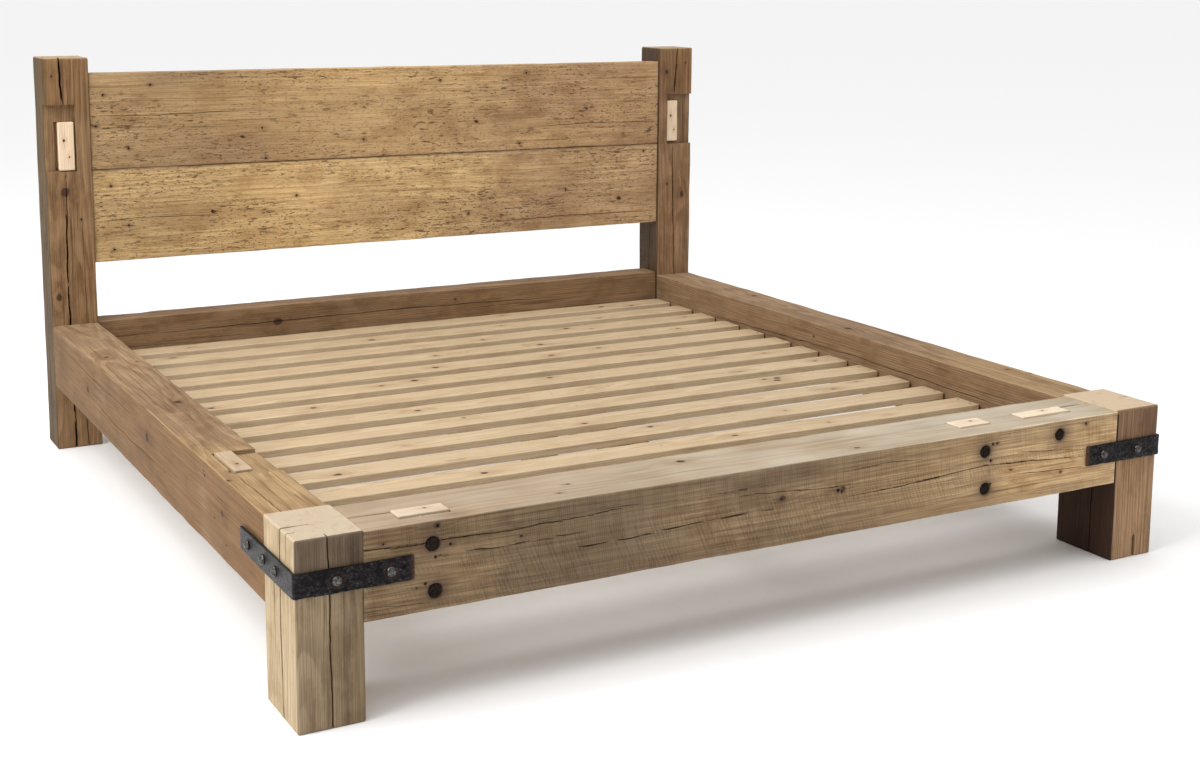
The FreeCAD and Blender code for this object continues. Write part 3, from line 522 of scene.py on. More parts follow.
skin("foot_rail_timber",
     [timber(rail_box, "x", 21, arris=0.004, wane=0.0018, rough=0.0007, step=(0.018, 0.0065),
             checks=foot_rail_checks, holes=foot_rail_holes, knots=foot_rail_knots, stains=foot_rail_stains,
             cuts=[let_in(block, "+z", 0.0012, 0.010, rail_top) for block in foot_rail_plugs])],
     old_wood("foot_rail_wood", "x", (0.0, rail_low[1] + 0.16, rail_low[2] - 0.02), early=(0.37, 0.255, 0.140),
              late=(0.215, 0.132, 0.067), dirt=(0.085, 0.052, 0.030), grey=(0.150, 0.106, 0.066), ring=0.0075,
              contrast=0.45, greying=0.6, streaks=0.5, saw=0.55, saw_slant=0.42, saw_to=rail_low[1] + 0.003,
              planed=(rail_top - 0.002, (0.51, 0.445, 0.345), 0.90), worn=(0.46, 0.34, 0.21), seed=7.0,
              shade_and_tone_washes=(((("z", 1, rail_top - 0.003, 0.002), ("x", -1, -0.36, 0.5)), (0.82, 0.76, 0.71)),
                      ((on_front, ("x", 1, 0.95, 0.90)), (2.15, 2.20, 2.15)), ((on_front, ("x", -1, -0.70, 0.5)), (0.84, 0.84, 0.82)),
                      ((on_front, ("z", 1, 0.352, 0.03)), (0.84, 0.84, 0.84)), ((on_front, ("z", -1, 0.225, 0.03)), (0.88, 0.86, 0.84)))),
     ["foot_rail"])


def spun(start, axis, profile, sides, wobble=0.0, seed=0):
    """A turned shape: radii of a profile swept round an axis. Profile: (distance, radius) pairs.
    A wobble changes the radius by smooth random waves."""
    axis = np.array(axis, float)
    first = np.cross(axis, (0.0, 0.0, 1.0) if abs(axis[2]) < 0.9 else (1.0, 0.0, 0.0))
    second = np.cross(axis, first)
    turn = np.linspace(0, 2 * np.pi, sides, endpoint=False)[None, :, None]
    distance, radius = np.array(profile, float).T[:, :, None, None]
    out = np.cos(turn) * first + np.sin(turn) * second
    rings = np.array(start) + distance * axis + radius * out
    if wobble:
        rings = rings + wobble * drift(rings, (0.006, 0.006, 0.006), seed)[..., None] * (out + axis)
    return rings


def end_wood(name, dark, pale, ring, rough):
    """Sawn end of a peg or a block: dark and pale mixed by fine noise, with short pores."""
    material = bpy.data.materials.new(name)
    material.use_nodes = True
    tree = material.node_tree
    tree.nodes.clear()
    place = put(tree, "TexCoord", {})["Object"]
    coarse = put(tree, "TexNoise", {"Vector": place, "Scale": ring, "Detail": 4.0, "Roughness": 0.6})[0]
    pores = put(tree, "TexVoronoi", {"Vector": place, "Scale": ring * 5, "Randomness": 1.0})["Distance"]
    colour = tint(tree, rise(tree, coarse, 0.35, 0.68), shade(*dark), shade(*pale))
    colour = tint(tree, rise(tree, sums(tree, "SUBTRACT", 1.0, pores), 0.55, 0.90, 0.6), colour, shade(*(0.4 * c for c in dark)))
    relief = put(tree, "Bump", {"Strength": 0.7, "Distance": 0.0012, "Height": sums(tree, "ADD", coarse, pores)})[0]
    finish = put(tree, "BsdfPrincipled", {"Base Color": colour, "Roughness": rough, "Normal": relief,
                                          "Specular IOR Level": 0.15})[0]
    put(tree, "OutputMaterial", {"Surface": finish})
    return material


peg_profile = ((0, 0.0138), (0.012, 0.0138), (0.0146, 0.0138), (0.0154, 0.0132), (0.0158, 0.0122), (0.0156, 0.009),
               (0.0158, 0.0055), (0.0154, 0.002))
skin("old_pegs_cut_off",
     [spun((x, rail_low[1] + 0.0175 + 0.0006 * i, z), (0, -1, 0), peg_profile, 36, 0.0007, 30 + i)
      for i, (x, z) in enumerate(old_pegs)],
     end_wood("old_peg_end", (0.004, 0.003, 0.002), (0.024, 0.014, 0.009), 160.0, 0.9),
     ["foot_rail_old_pegs"])

for side, (low, high), seed, light in zip(("left", "middle", "right"), foot_rail_plugs, (31, 32, 33), (0.86, 1.12, 1.16)):
    early, late = tuple(light * c for c in (0.69, 0.575, 0.43)), tuple(light * c for c in (0.54, 0.40, 0.26))
    grey = tuple(light * c for c in (0.62, 0.51, 0.375))
    block_wood = old_wood("new_block_wood_" + side, "x", (0.0, -1.30, 0.31), early=early, late=late,
                      dirt=(0.43, 0.29, 0.17), grey=grey, ring=0.0036, contrast=0.35, greying=0.15,
                      streaks=0.15, worn=early, gloss=0.5, age=0.15, seed=9.0)
    middle = [(p + q) / 2 for p, q in zip(low, high)]
    skin("foot_rail_block_" + side,
         [timber((low, high), "x", seed, arris=0.0022, end_arris=0.0022, wane=0.0008, rough=0.0004, step=(0.004, 0.0025),
                 knots=(("+z", middle[0] + 0.012, middle[1] + 0.006, 0.0035),))],
         block_wood, ["foot_rail_plug_" + side])

# ---- Side rails ----
# The long beams between the foot and head posts, with rounded, waney upper arrises. The left one
# has an old joist housing at its foot end and, beside it, a mortise filled with a block of pine.
post_back, head_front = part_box("foot_post_left")[1][1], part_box("head_post_left")[0][1]
SIDE_TONES = dict(early=(0.306, 0.197, 0.110), late=(0.169, 0.096, 0.046), dirt=(0.094, 0.051, 0.026),
                  grey=(0.188, 0.119, 0.069), worn=(0.40, 0.27, 0.155))
for side, sign, seed in (("left", -1, 41), ("right", 1, 42)):
    low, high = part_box("side_rail_" + side)
    low, high = (low[0], post_back - 0.002, low[2]), (high[0], head_front + 0.002, high[2])
    outer, inner = (low[0], high[0]) if sign < 0 else (high[0], low[0])
    out_face, in_face = ("-x", "+x") if sign < 0 else ("+x", "-x")
    checks = [
        ("+z", ((-0.985, outer - sign * 0.042), (-0.90, outer - sign * 0.040), (-0.834, outer - sign * 0.038),
                (-0.76, outer - sign * 0.036), (-0.700, outer - sign * 0.040)), 0.0012, 0.012),
        (out_face, ((-0.30, 0.270), (0.20, 0.262), (0.62, 0.276)), 0.0009, 0.008),
        (out_face, ((0.10, 0.335), (0.45, 0.330), (0.90, 0.338)), 0.0008, 0.006),
        (in_face, ((-0.80, 0.30), (-0.10, 0.31), (0.70, 0.29)), 0.0013, 0.014),
        ("-z", ((-0.60, outer - sign * 0.07), (0.50, outer - sign * 0.06)), 0.0013, 0.014),
    ]
    knots = [("+z", -0.017, outer - sign * 0.092, 0.011), (out_face, -0.056, 0.312, 0.012), (out_face, 0.60, 0.29, 0.010),
             (out_face, -0.69, 0.30, 0.007), (in_face, 0.25, 0.27, 0.014), ("+z", 0.56, outer - sign * 0.05, 0.008)]
    holes = [("+z", 0.475, outer - sign * 0.112, 0.0024, 0.005), ("+z", -0.660, outer - sign * 0.035, 0.0042, 0.006),
             ("+z", -0.722, outer - sign * 0.010, 0.0036, 0.005), (out_face, -0.557, 0.360, 0.0022, 0.006),
             (out_face, -0.559, 0.351, 0.0022, 0.006), (out_face, -0.631, 0.276, 0.0020, 0.005),
             (out_face, -0.716, 0.239, 0.0022, 0.006), (in_face, 0.10, 0.33, 0.0025, 0.006)]
    on_side = ("x", sign, outer - sign * 0.0035, 0.002)
    # pockets in the underside, where a spanner reaches the nuts of the post joints
    heart_x, pocket_roof = (outer + inner) / 2, 0.274
    cuts = [("-z", (heart_x - 0.025, start, low[2]), (heart_x + 0.025, start + 0.070, pocket_roof))
            for start in (post_back + 0.080, head_front - 0.150)]
    recess_wash = ()
    if sign < 0:
        recess_wash = (((("x", 1, inner - 0.09, 0.002), ("y", -1, -0.505, 0.002), ("z", 1, 0.364, 0.002),
                         ("z", -1, high[2] - 0.006, 0.002)), (1.36, 1.42, 1.28)),)
        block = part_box("side_rail_plug_left")
        cuts += [("+z", (block[1][0], -0.699, 0.374), (inner + 0.01, -0.509, high[2])),
                 ("+z", (block[0][0] - 0.003, -0.5155, 0.350), (inner + 0.01, -0.509, high[2])),
                 let_in(block, "+z", 0.0022, 0.022, high[2])]
    skin("side_rail_timber_" + side,
         [timber((low, high), "y", seed, arris=0.0055, wane=(0.0004, 0.0060, 0.0050, 0.0004), rough=0.0007, step=(0.0095, 0.0048),
                 checks=checks, holes=holes, knots=knots, cuts=cuts)],
         old_wood("side_rail_wood_" + side, "y", (outer - sign * 0.05, 0.0, 0.10 if sign < 0 else 0.50), ring=0.0062,
                  contrast=0.55, greying=0.35, streaks=0.4, age=0.75, seed=11.0 + sign,
                  shade_and_tone_washes=(((on_side,), (0.72, 0.595, 0.350)),
                          ((("y", -1, -0.62, 0.40), ("z", 1, high[2] - 0.004, 0.002)), (1.36, 1.42, 1.28)),
                          ((("y", 1, 0.55, 0.60), ("z", 1, high[2] - 0.004, 0.002)), (1.18, 1.22, 1.22)),
                          ((on_side, ("y", -1, -0.84, 0.14), ("z", -1, 0.262, 0.04)), (1.08, 1.03, 1.02)), *recess_wash),
                  **SIDE_TONES),
         ["side_rail_" + side])
low, high = block
skin("side_rail_block_left",
     [timber(block, "y", 45, arris=0.0022, end_arris=0.0022, wane=0.0008, rough=0.0004, step=(0.004, 0.0025),
             knots=(("+z", low[1] + 0.05, low[0] + 0.02, 0.004),))],
     old_wood("side_block_wood", "y", (low[0] - 0.15, 0.0, 0.30), early=(0.47, 0.36, 0.24), late=(0.35, 0.235, 0.135),
              dirt=(0.29, 0.19, 0.11), grey=(0.41, 0.30, 0.20), ring=0.0040, contrast=0.4, greying=0.2, streaks=0.2,
              worn=(0.50, 0.37, 0.24), age=0.15, seed=13.0),
     ["side_rail_plug_left"])

# ---- Head posts ----
# The two tall posts. Each keeps a shallow notch of the barn frame high on its front, with a mortise
# in it that a pine block now fills, and each is split from top to bottom by a drying check.
HEAD_TONES = dict(early=(0.335, 0.205, 0.103), late=(0.180, 0.100, 0.046), dirt=(0.090, 0.049, 0.024),
                  grey=(0.185, 0.117, 0.066), worn=(0.37, 0.24, 0.13))
head_posts = {}
for side, sign, seed in (("left", -1, 51), ("right", 1, 52)):
    low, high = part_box("head_post_" + side)
    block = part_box("head_post_plug_" + side)
    outer, inner = (low[0], high[0]) if sign < 0 else (high[0], low[0])
    out_face, in_face = ("-x", "+x") if sign < 0 else ("+x", "-x")
    front = low[1]

    def inward(millimetres, outer=outer, sign=sign):
        return outer - sign * millimetres / 1000

    def notch(start, end, bottom, top, floor, outer=outer, sign=sign):
        """A hollow in the post's front between two distances from its outer side."""
        sides = sorted((outer - sign * start / 1000, outer - sign * end / 1000))
        return ("-y", (sides[0], front, bottom), (sides[1], front + floor, top))

    if sign < 0:
        cuts = [notch(-10, 94, 0.846, 1.045, 0.018), notch(33, 89, 0.849, 0.994, 0.034)]
        checks = [
            ("-y", ((1.045, inward(62)), (1.10, inward(56)), (high[2], inward(52))), 0.0017, 0.026),
            ("-y", ((0.0, inward(60)), (0.25, inward(58)), (0.52, inward(54)), (0.80, inward(60)), (0.846, inward(62))), 0.0016, 0.020),
            ("-y", ((0.0, inward(94)), (0.19, inward(92)), (0.36, inward(95))), 0.0012, 0.016),
            (out_face, ((0.0, front + 0.070), (0.60, front + 0.078), (high[2], front + 0.066)), 0.0017, 0.030),
            (out_face, ((0.30, front + 0.030), (0.75, front + 0.026)), 0.0011, 0.012),
        ]
        knots = [("-y", 0.785, inward(56), 0.012), ("-y", 0.468, inward(26), 0.009), (out_face, 0.62, front + 0.05, 0.010),
                 ("-y", 0.12, inward(110), 0.008)]
    else:
        cuts = [notch(-10, 103, 0.844, 1.020, 0.018), notch(55, 102, 0.853, 0.999, 0.034)]
        checks = [
            ("-y", ((1.020, inward(76)), (1.10, inward(70)), (high[2], inward(64))), 0.0018, 0.028),
            ("-y", ((0.38, inward(66)), (0.60, inward(72)), (0.844, inward(80))), 0.0016, 0.020),
            ("-y", ((0.0, inward(70)), (0.30, inward(66)), (0.48, inward(64))), 0.0012, 0.012),
            (in_face, ((0.0, front + 0.060), (0.30, front + 0.064), (0.56, front + 0.060)), 0.0014, 0.020),
            (out_face, ((0.0, front + 0.070), (0.60, front + 0.060), (high[2], front + 0.072)), 0.0016, 0.026),
        ]
        knots = [("-y", 0.66, inward(38), 0.009), ("-y", 1.10, inward(108), 0.007), (out_face, 0.50, front + 0.06, 0.012),
                 (in_face, 0.20, front + 0.05, 0.009)]
    checks += [("+y", ((0.0, inward(66)), (0.55, inward(74)), (high[2], inward(64))), 0.0018, 0.030)]
    holes = [("-y", 0.70, inward(100), 0.0024, 0.006), ("-y", 1.13, inward(30), 0.0022, 0.005), ("-y", 0.32, inward(24), 0.0024, 0.006)]
    skin("head_post_timber_" + side,
         [timber((low, high), "z", seed, arris=0.0050, end_arris=0.006, wane=0.0018, rough=0.0006, step=(0.0062, 0.0038),
                 checks=checks, holes=holes, knots=knots, cuts=cuts)],
         old_wood("head_post_wood_" + side, "z", (inward(30), front + 0.22, 0.0), ring=0.0056, contrast=0.6, greying=0.35,
                  streaks=0.55, planed=(high[2] - 0.001, (0.50, 0.38, 0.24), 0.7), seed=15.0 + 2 * sign,
                  # the last wash is painted shade on the inner side; the others make the outer side much darker, the
                  # front paler and its top darker
                  shade_and_tone_washes=(((("x", sign, outer - sign * 0.004, 0.002),), (0.39, 0.39, 0.30)),
                          ((("y", -1, front + 0.003, 0.002),), (1.03, 1.03, 1.0) if sign < 0 else (1.12, 1.09, 1.11)),
                          ((("y", -1, front + 0.003, 0.002), ("z", 1, 1.02, 0.05)), (0.82, 0.76, 0.66)),
                          ((("x", -sign, inner + sign * 0.004, 0.002),), (0.31, 0.29, 0.25) if sign > 0 else (0.8, 0.8, 0.8))),
                  **HEAD_TONES),
         ["head_post_" + side])
    skin("head_post_block_" + side,
         [timber(block, "z", seed + 4, arris=0.003, end_arris=0.004, wane=0.0008, rough=0.0004, step=(0.004, 0.0025),
                 knots=(("-y", block[0][2] + 0.09, block[0][0] + 0.016, 0.004), ("-y", block[0][2] + 0.04, block[0][0] + 0.03, 0.0028)))],
         old_wood("head_block_wood_" + side, "z", (block[0][0] - 0.12, front - 0.1, 0.0), early=(0.88, 0.70, 0.51),
                  late=(0.68, 0.48, 0.32), dirt=(0.50, 0.34, 0.20), grey=(0.70, 0.55, 0.38), ring=0.0042, contrast=0.45,
                  greying=0.2, streaks=0.25, worn=(0.72, 0.57, 0.38), age=0.15, seed=17.0 + sign),
         ["head_post_plug_" + side])

# ---- Cross rail at the head ----
# A thinner beam low between the head posts, behind the slats, with its tenons pegged from the back.
low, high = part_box("head_cross_rail")
skin("cross_rail_timber",
     [timber(((inner_left - 0.002, low[1], low[2]), (inner_right + 0.002, high[1], high[2])), "x", 55, arris=0.004, wane=0.004,
             step=(0.008, 0.0042),
             checks=(("-y", ((-0.80, 0.33), (0.0, 0.335), (0.60, 0.325)), 0.0012, 0.012),
                     ("+y", ((-0.60, 0.27), (0.20, 0.26), (0.85, 0.28)), 0.0014, 0.014),
                     ("+z", ((-0.50, 1.10), (0.50, 1.11)), 0.0012, 0.010)),
             knots=(("-y", -0.42, 0.33, 0.012), ("+y", 0.30, 0.32, 0.014), ("+y", -0.55, 0.29, 0.011)),
             holes=(("-y", 0.20, 0.35, 0.0025, 0.006), ("+y", -0.20, 0.25, 0.0025, 0.006), ("+y", 0.66, 0.34, 0.0025, 0.006)))],
     old_wood("cross_rail_wood", "x", (0.0, 1.02, 0.12), ring=0.0060, contrast=0.5, greying=0.5, streaks=0.5,
              seed=19.0, **HEAD_TONES),
     ["head_cross_rail"])
peg_low, peg_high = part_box("head_joint_pegs")
joint_profile = ((0, 0.0095), (0.0285, 0.0095), (0.0305, 0.0092), (0.0318, 0.0080), (0.0322, 0.005), (0.0320, 0.002))

peg_places = [(sign * 1.015, z) for sign in (-1, 1) for z in (0.258, 0.324)]
skin("cross_rail_pegs",
     [spun((x, peg_high[1] - 0.0310, z), (0, 1, 0), joint_profile, 28, 0.0005, 60 + i)
      for i, (x, z) in enumerate(peg_places)],
     end_wood("oak_peg_end", (0.16, 0.095, 0.05), (0.36, 0.24, 0.14), 190.0, 0.7),
     ["head_joint_pegs"])

# ---- Headboard ----
# Two wide old planks, one above the other, let into the posts and screwed to three battens behind.
# They are sanded back but keep dark flecks, knots, nail holes with iron stains, and a dark seam.
BOARD_TONES = dict(late=(0.38, 0.225, 0.095), dirt=(0.22, 0.125, 0.055), grey=(0.36, 0.235, 0.125), worn=(0.62, 0.45, 0.25))
board_holes = ((-0.804, 1.098), (-0.946, 1.071), (-0.970, 0.977), (-0.875, 0.907), (-0.448, 0.859), (0.468, 1.108),
               (0.441, 0.869), (0.931, 0.822), (-0.932, 0.796), (-0.929, 0.601), (-0.883, 0.673), (-0.120, 0.905),
               (0.150, 1.090), (0.700, 0.980), (0.250, 0.640), (-0.350, 0.735), (0.620, 0.700))
# the last value of each row is painted shade on the plank's left end, beside the left post
for part, seed, early, left_painted_shade in (("lower", 61, (0.72, 0.525, 0.270), (0.93, 0.89, 0.83)),
                                     ("upper", 62, (0.63, 0.440, 0.218), (0.76, 0.73, 0.74))):
    low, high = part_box("headboard_plank_" + part)
    holes = [(face, x, z, 0.0030, 0.006) for x, z in board_holes if low[2] + 0.008 < z < high[2] - 0.008 for face in ("-y", "+y")]
    stains = [("-y", x, z, 0.012, 0.006, 0.5) for x, z in board_holes if low[2] < z < high[2]]
    seam = high[2] if part == "lower" else low[2]
    stains += [(face, 0.0, seam, 9.0, 0.0028, 1.0) for face in ("-y", "+y")]
    if part == "lower":
        knots = [("-y", -0.62, 0.70, 0.0070), ("-y", 0.10, 0.78, 0.0050), ("-y", 0.83, 0.66, 0.0080), ("+y", -0.30, 0.70, 0.011),
                 ("+y", 0.50, 0.75, 0.009), ("-y", -0.22, 0.63, 0.0045)]
        checks = [("-y", ((-0.985, 0.690), (-0.80, 0.694), (-0.62, 0.688)), 0.0009, 0.008),
                  ("-y", ((0.30, 0.605), (0.66, 0.612), (0.985, 0.606)), 0.0010, 0.009),
                  ("+y", ((-0.985, 0.72), (-0.50, 0.71)), 0.0011, 0.010), ("+y", ((0.10, 0.64), (0.985, 0.65)), 0.0011, 0.010)]
    else:
        knots = [("-y", -0.52, 0.93, 0.0060), ("-y", -0.46, 0.955, 0.0045), ("-y", 0.28, 0.95, 0.0060), ("-y", 0.66, 1.06, 0.0045),
                 ("-y", -0.10, 1.06, 0.0045), ("+y", 0.20, 0.98, 0.010), ("+y", -0.62, 0.93, 0.008)]
        checks = [("-y", ((-0.985, 1.010), (-0.78, 1.006), (-0.52, 1.012)), 0.0009, 0.008),
                  ("-y", ((0.52, 0.925), (0.76, 0.930), (0.985, 0.924)), 0.0009, 0.008),
                  ("+y", ((-0.985, 1.04), (-0.30, 1.05)), 0.0011, 0.010),
                  ("+z", ((-0.60, 1.084), (0.10, 1.088)), 0.0008, 0.008)]
    meet = 0.0008
    box = ((inner_left - 0.002, low[1], low[2] - (meet if part == "upper" else 0)),
           (inner_right + 0.002, high[1], high[2] + (meet if part == "lower" else 0)))
    skin("headboard_board_" + part,
         [timber(box, "x", seed, arris=0.0030, wane=0.0030, rough=0.0009, step=(0.0110, 0.0050), checks=checks, holes=holes,
                 knots=knots, stains=stains)],
         old_wood("headboard_wood_" + part, "x", (0.0, 0.93 if part == "lower" else 1.22, (low[2] + high[2]) / 2 - 0.04),
                  early=early, ring=0.0100, contrast=0.32, greying=0.55, streaks=0.35, flecks=0.85, age=0.7, seed=seed - 40.0,
                  # the second wash is painted shade beside the left post; the first makes the middle paler and the last
                  # the right end darker
                  shade_and_tone_washes=(((("x", 1, -0.30, 0.5), ("x", -1, 0.10, 0.5)), (1.22, 1.20, 1.16)),
                          ((("x", -1, -0.56, 0.5),), left_painted_shade), ((("x", 1, 0.62, 0.5),), (0.91, 0.84, 0.87))),
                  **BOARD_TONES),
         ["headboard_plank_" + part])

BATTEN_TONES = dict(early=(0.60, 0.46, 0.29), late=(0.42, 0.27, 0.14), dirt=(0.32, 0.21, 0.12), grey=(0.47, 0.36, 0.23))
for place, x_knot, seed in (("left", -0.69, 64), ("centre", 0.012, 65), ("right", 0.71, 66)):
    low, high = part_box("headboard_batten_" + place)
    skin("headboard_batten_strip_" + place,
         [timber((low, high), "z", seed, arris=0.003, end_arris=0.003, wane=0.0015, rough=0.0006, step=(0.008, 0.004),
                 knots=(("+y", 0.78, x_knot, 0.010), ("+y", 1.02, x_knot - 0.02, 0.006)))],
         old_wood("batten_wood_" + place, "z", (low[0] + 0.02, 1.26, 0.0), ring=0.0042, contrast=0.55, greying=0.2,
                  streaks=0.25, gloss=0.5, age=0.15, seed=seed - 38.0, **BATTEN_TONES),
         ["headboard_batten_" + place])


def metal(name, dark, pale, grain, relief, roughness, rust=0.0, metallic=1.0, distance=0.0006, burnished_and_glint=None):
    """Worked steel: dark and pale mixed by noise, brown rust in the noise's hollows, bumps between,
    and a pale tone on the highest spots of a finer noise, partly burnished bare iron and partly painted glints."""
    material = bpy.data.materials.new(name)
    material.use_nodes = True
    tree = material.node_tree
    tree.nodes.clear()
    place = put(tree, "TexCoord", {})["Object"]
    # the wear and shade values: painted shade in hollows, and iron stain
    worn = put(tree, "Attribute", {}, attribute_name="wear_and_shade")
    parts = put(tree, "SeparateColor", {0: worn["Color"]})
    scale = put(tree, "TexNoise", {"Vector": place, "Scale": grain, "Detail": 5.0, "Roughness": 0.62})[0]
    dents = put(tree, "TexNoise", {"Vector": place, "Scale": grain * 3.4, "Detail": 3.0, "Roughness": 0.6})[0]
    colour = tint(tree, rise(tree, scale, 0.40, 0.66), shade(*dark), shade(*pale))
    rusty = rise(tree, put(tree, "TexNoise", {"Vector": place, "Scale": grain * 0.6, "Detail": 6.0, "Roughness": 0.7})[0], 0.56, 0.72, rust)
    rusty = sums(tree, "MAXIMUM", rusty, sums(tree, "MULTIPLY", parts[2], 0.8))
    colour = tint(tree, rusty, colour, shade(0.13, 0.055, 0.025))
    # pale flecks on high spots: partly burnished bare iron, partly painted glints
    if burnished_and_glint:
        spots = sums(tree, "MULTIPLY", rise(tree, dents, 0.56, 0.66), rise(tree, scale, 0.46, 0.60))
        colour = tint(tree, spots, colour, shade(*burnished_and_glint))
    # painted shade in a hollow: the strap's old nail hole
    colour = tint(tree, sums(tree, "MULTIPLY", parts[0], 0.9), colour, shade(0.008, 0.006, 0.005))
    height = sums(tree, "ADD", sums(tree, "MULTIPLY", scale, 0.7), sums(tree, "MULTIPLY", dents, 0.5))
    bump = put(tree, "Bump", {"Strength": relief, "Distance": distance, "Height": height})[0]
    rough = sums(tree, "ADD", roughness, sums(tree, "MULTIPLY", sums(tree, "ADD", rusty, dents), 0.22))
    share = sums(tree, "SUBTRACT", metallic, sums(tree, "MULTIPLY", rusty, metallic * 0.9)) if metallic else 0.0
    finish = put(tree, "BsdfPrincipled", {"Base Color": colour, "Roughness": rough, "Metallic": share, "Normal": bump,
                                          "Specular IOR Level": 0.35})[0]
    put(tree, "OutputMaterial", {"Surface": finish})
    return material


zinc = metal("zinc_plate", (0.46, 0.46, 0.44), (0.66, 0.65, 0.60), 260.0, 0.25, 0.30, rust=0.1)


def screw_heads(places, axis, radius, depth=0.0030):
    """Countersunk heads with a cross-shaped recess: a star of 16 corners, sunk into a disc. The
    recess is the same star twice, the second time lower."""
    star = np.where(np.arange(16) % 4 < 1, 0.62, np.where(np.arange(16) % 4 == 2, 0.16, 0.26)) * radius
    shells = []
    for number, place in enumerate(places):
        rings = spun(place, axis, ((-depth, 0.5 * radius), (-0.0006, 0.98 * radius), (0.0001, radius), (0.0004, 0.93 * radius),
                                   (0.0005, 0.75 * radius), (0.0004, 0.7 * radius), (-0.0014, 0.6 * radius)), 16)
        out = rings[4] - (np.array(place) + 0.0005 * np.array(axis, float))
        out = out / np.linalg.norm(out, axis=1)[:, None]
        rings[5] = np.array(place) + 0.0004 * np.array(axis, float) + out * star[:, None]
        rings[6] = np.array(place) - 0.0016 * np.array(axis, float) + out * star[:, None] * 0.8
        shells.append(rings)
    return shells


planks = [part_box("headboard_plank_lower"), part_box("headboard_plank_upper")]
batten_heads = [(x + offset, 1.1488, low[2] + row * (high[2] - low[2]))
                for x in (-0.700, 0.0, 0.700) for low, high in planks for row in (0.25, 0.75) for offset in (-0.022, 0.022)]
skin("batten_screw_heads", screw_heads(batten_heads, (0, 1, 0), 0.005), zinc, ["batten_screws"])

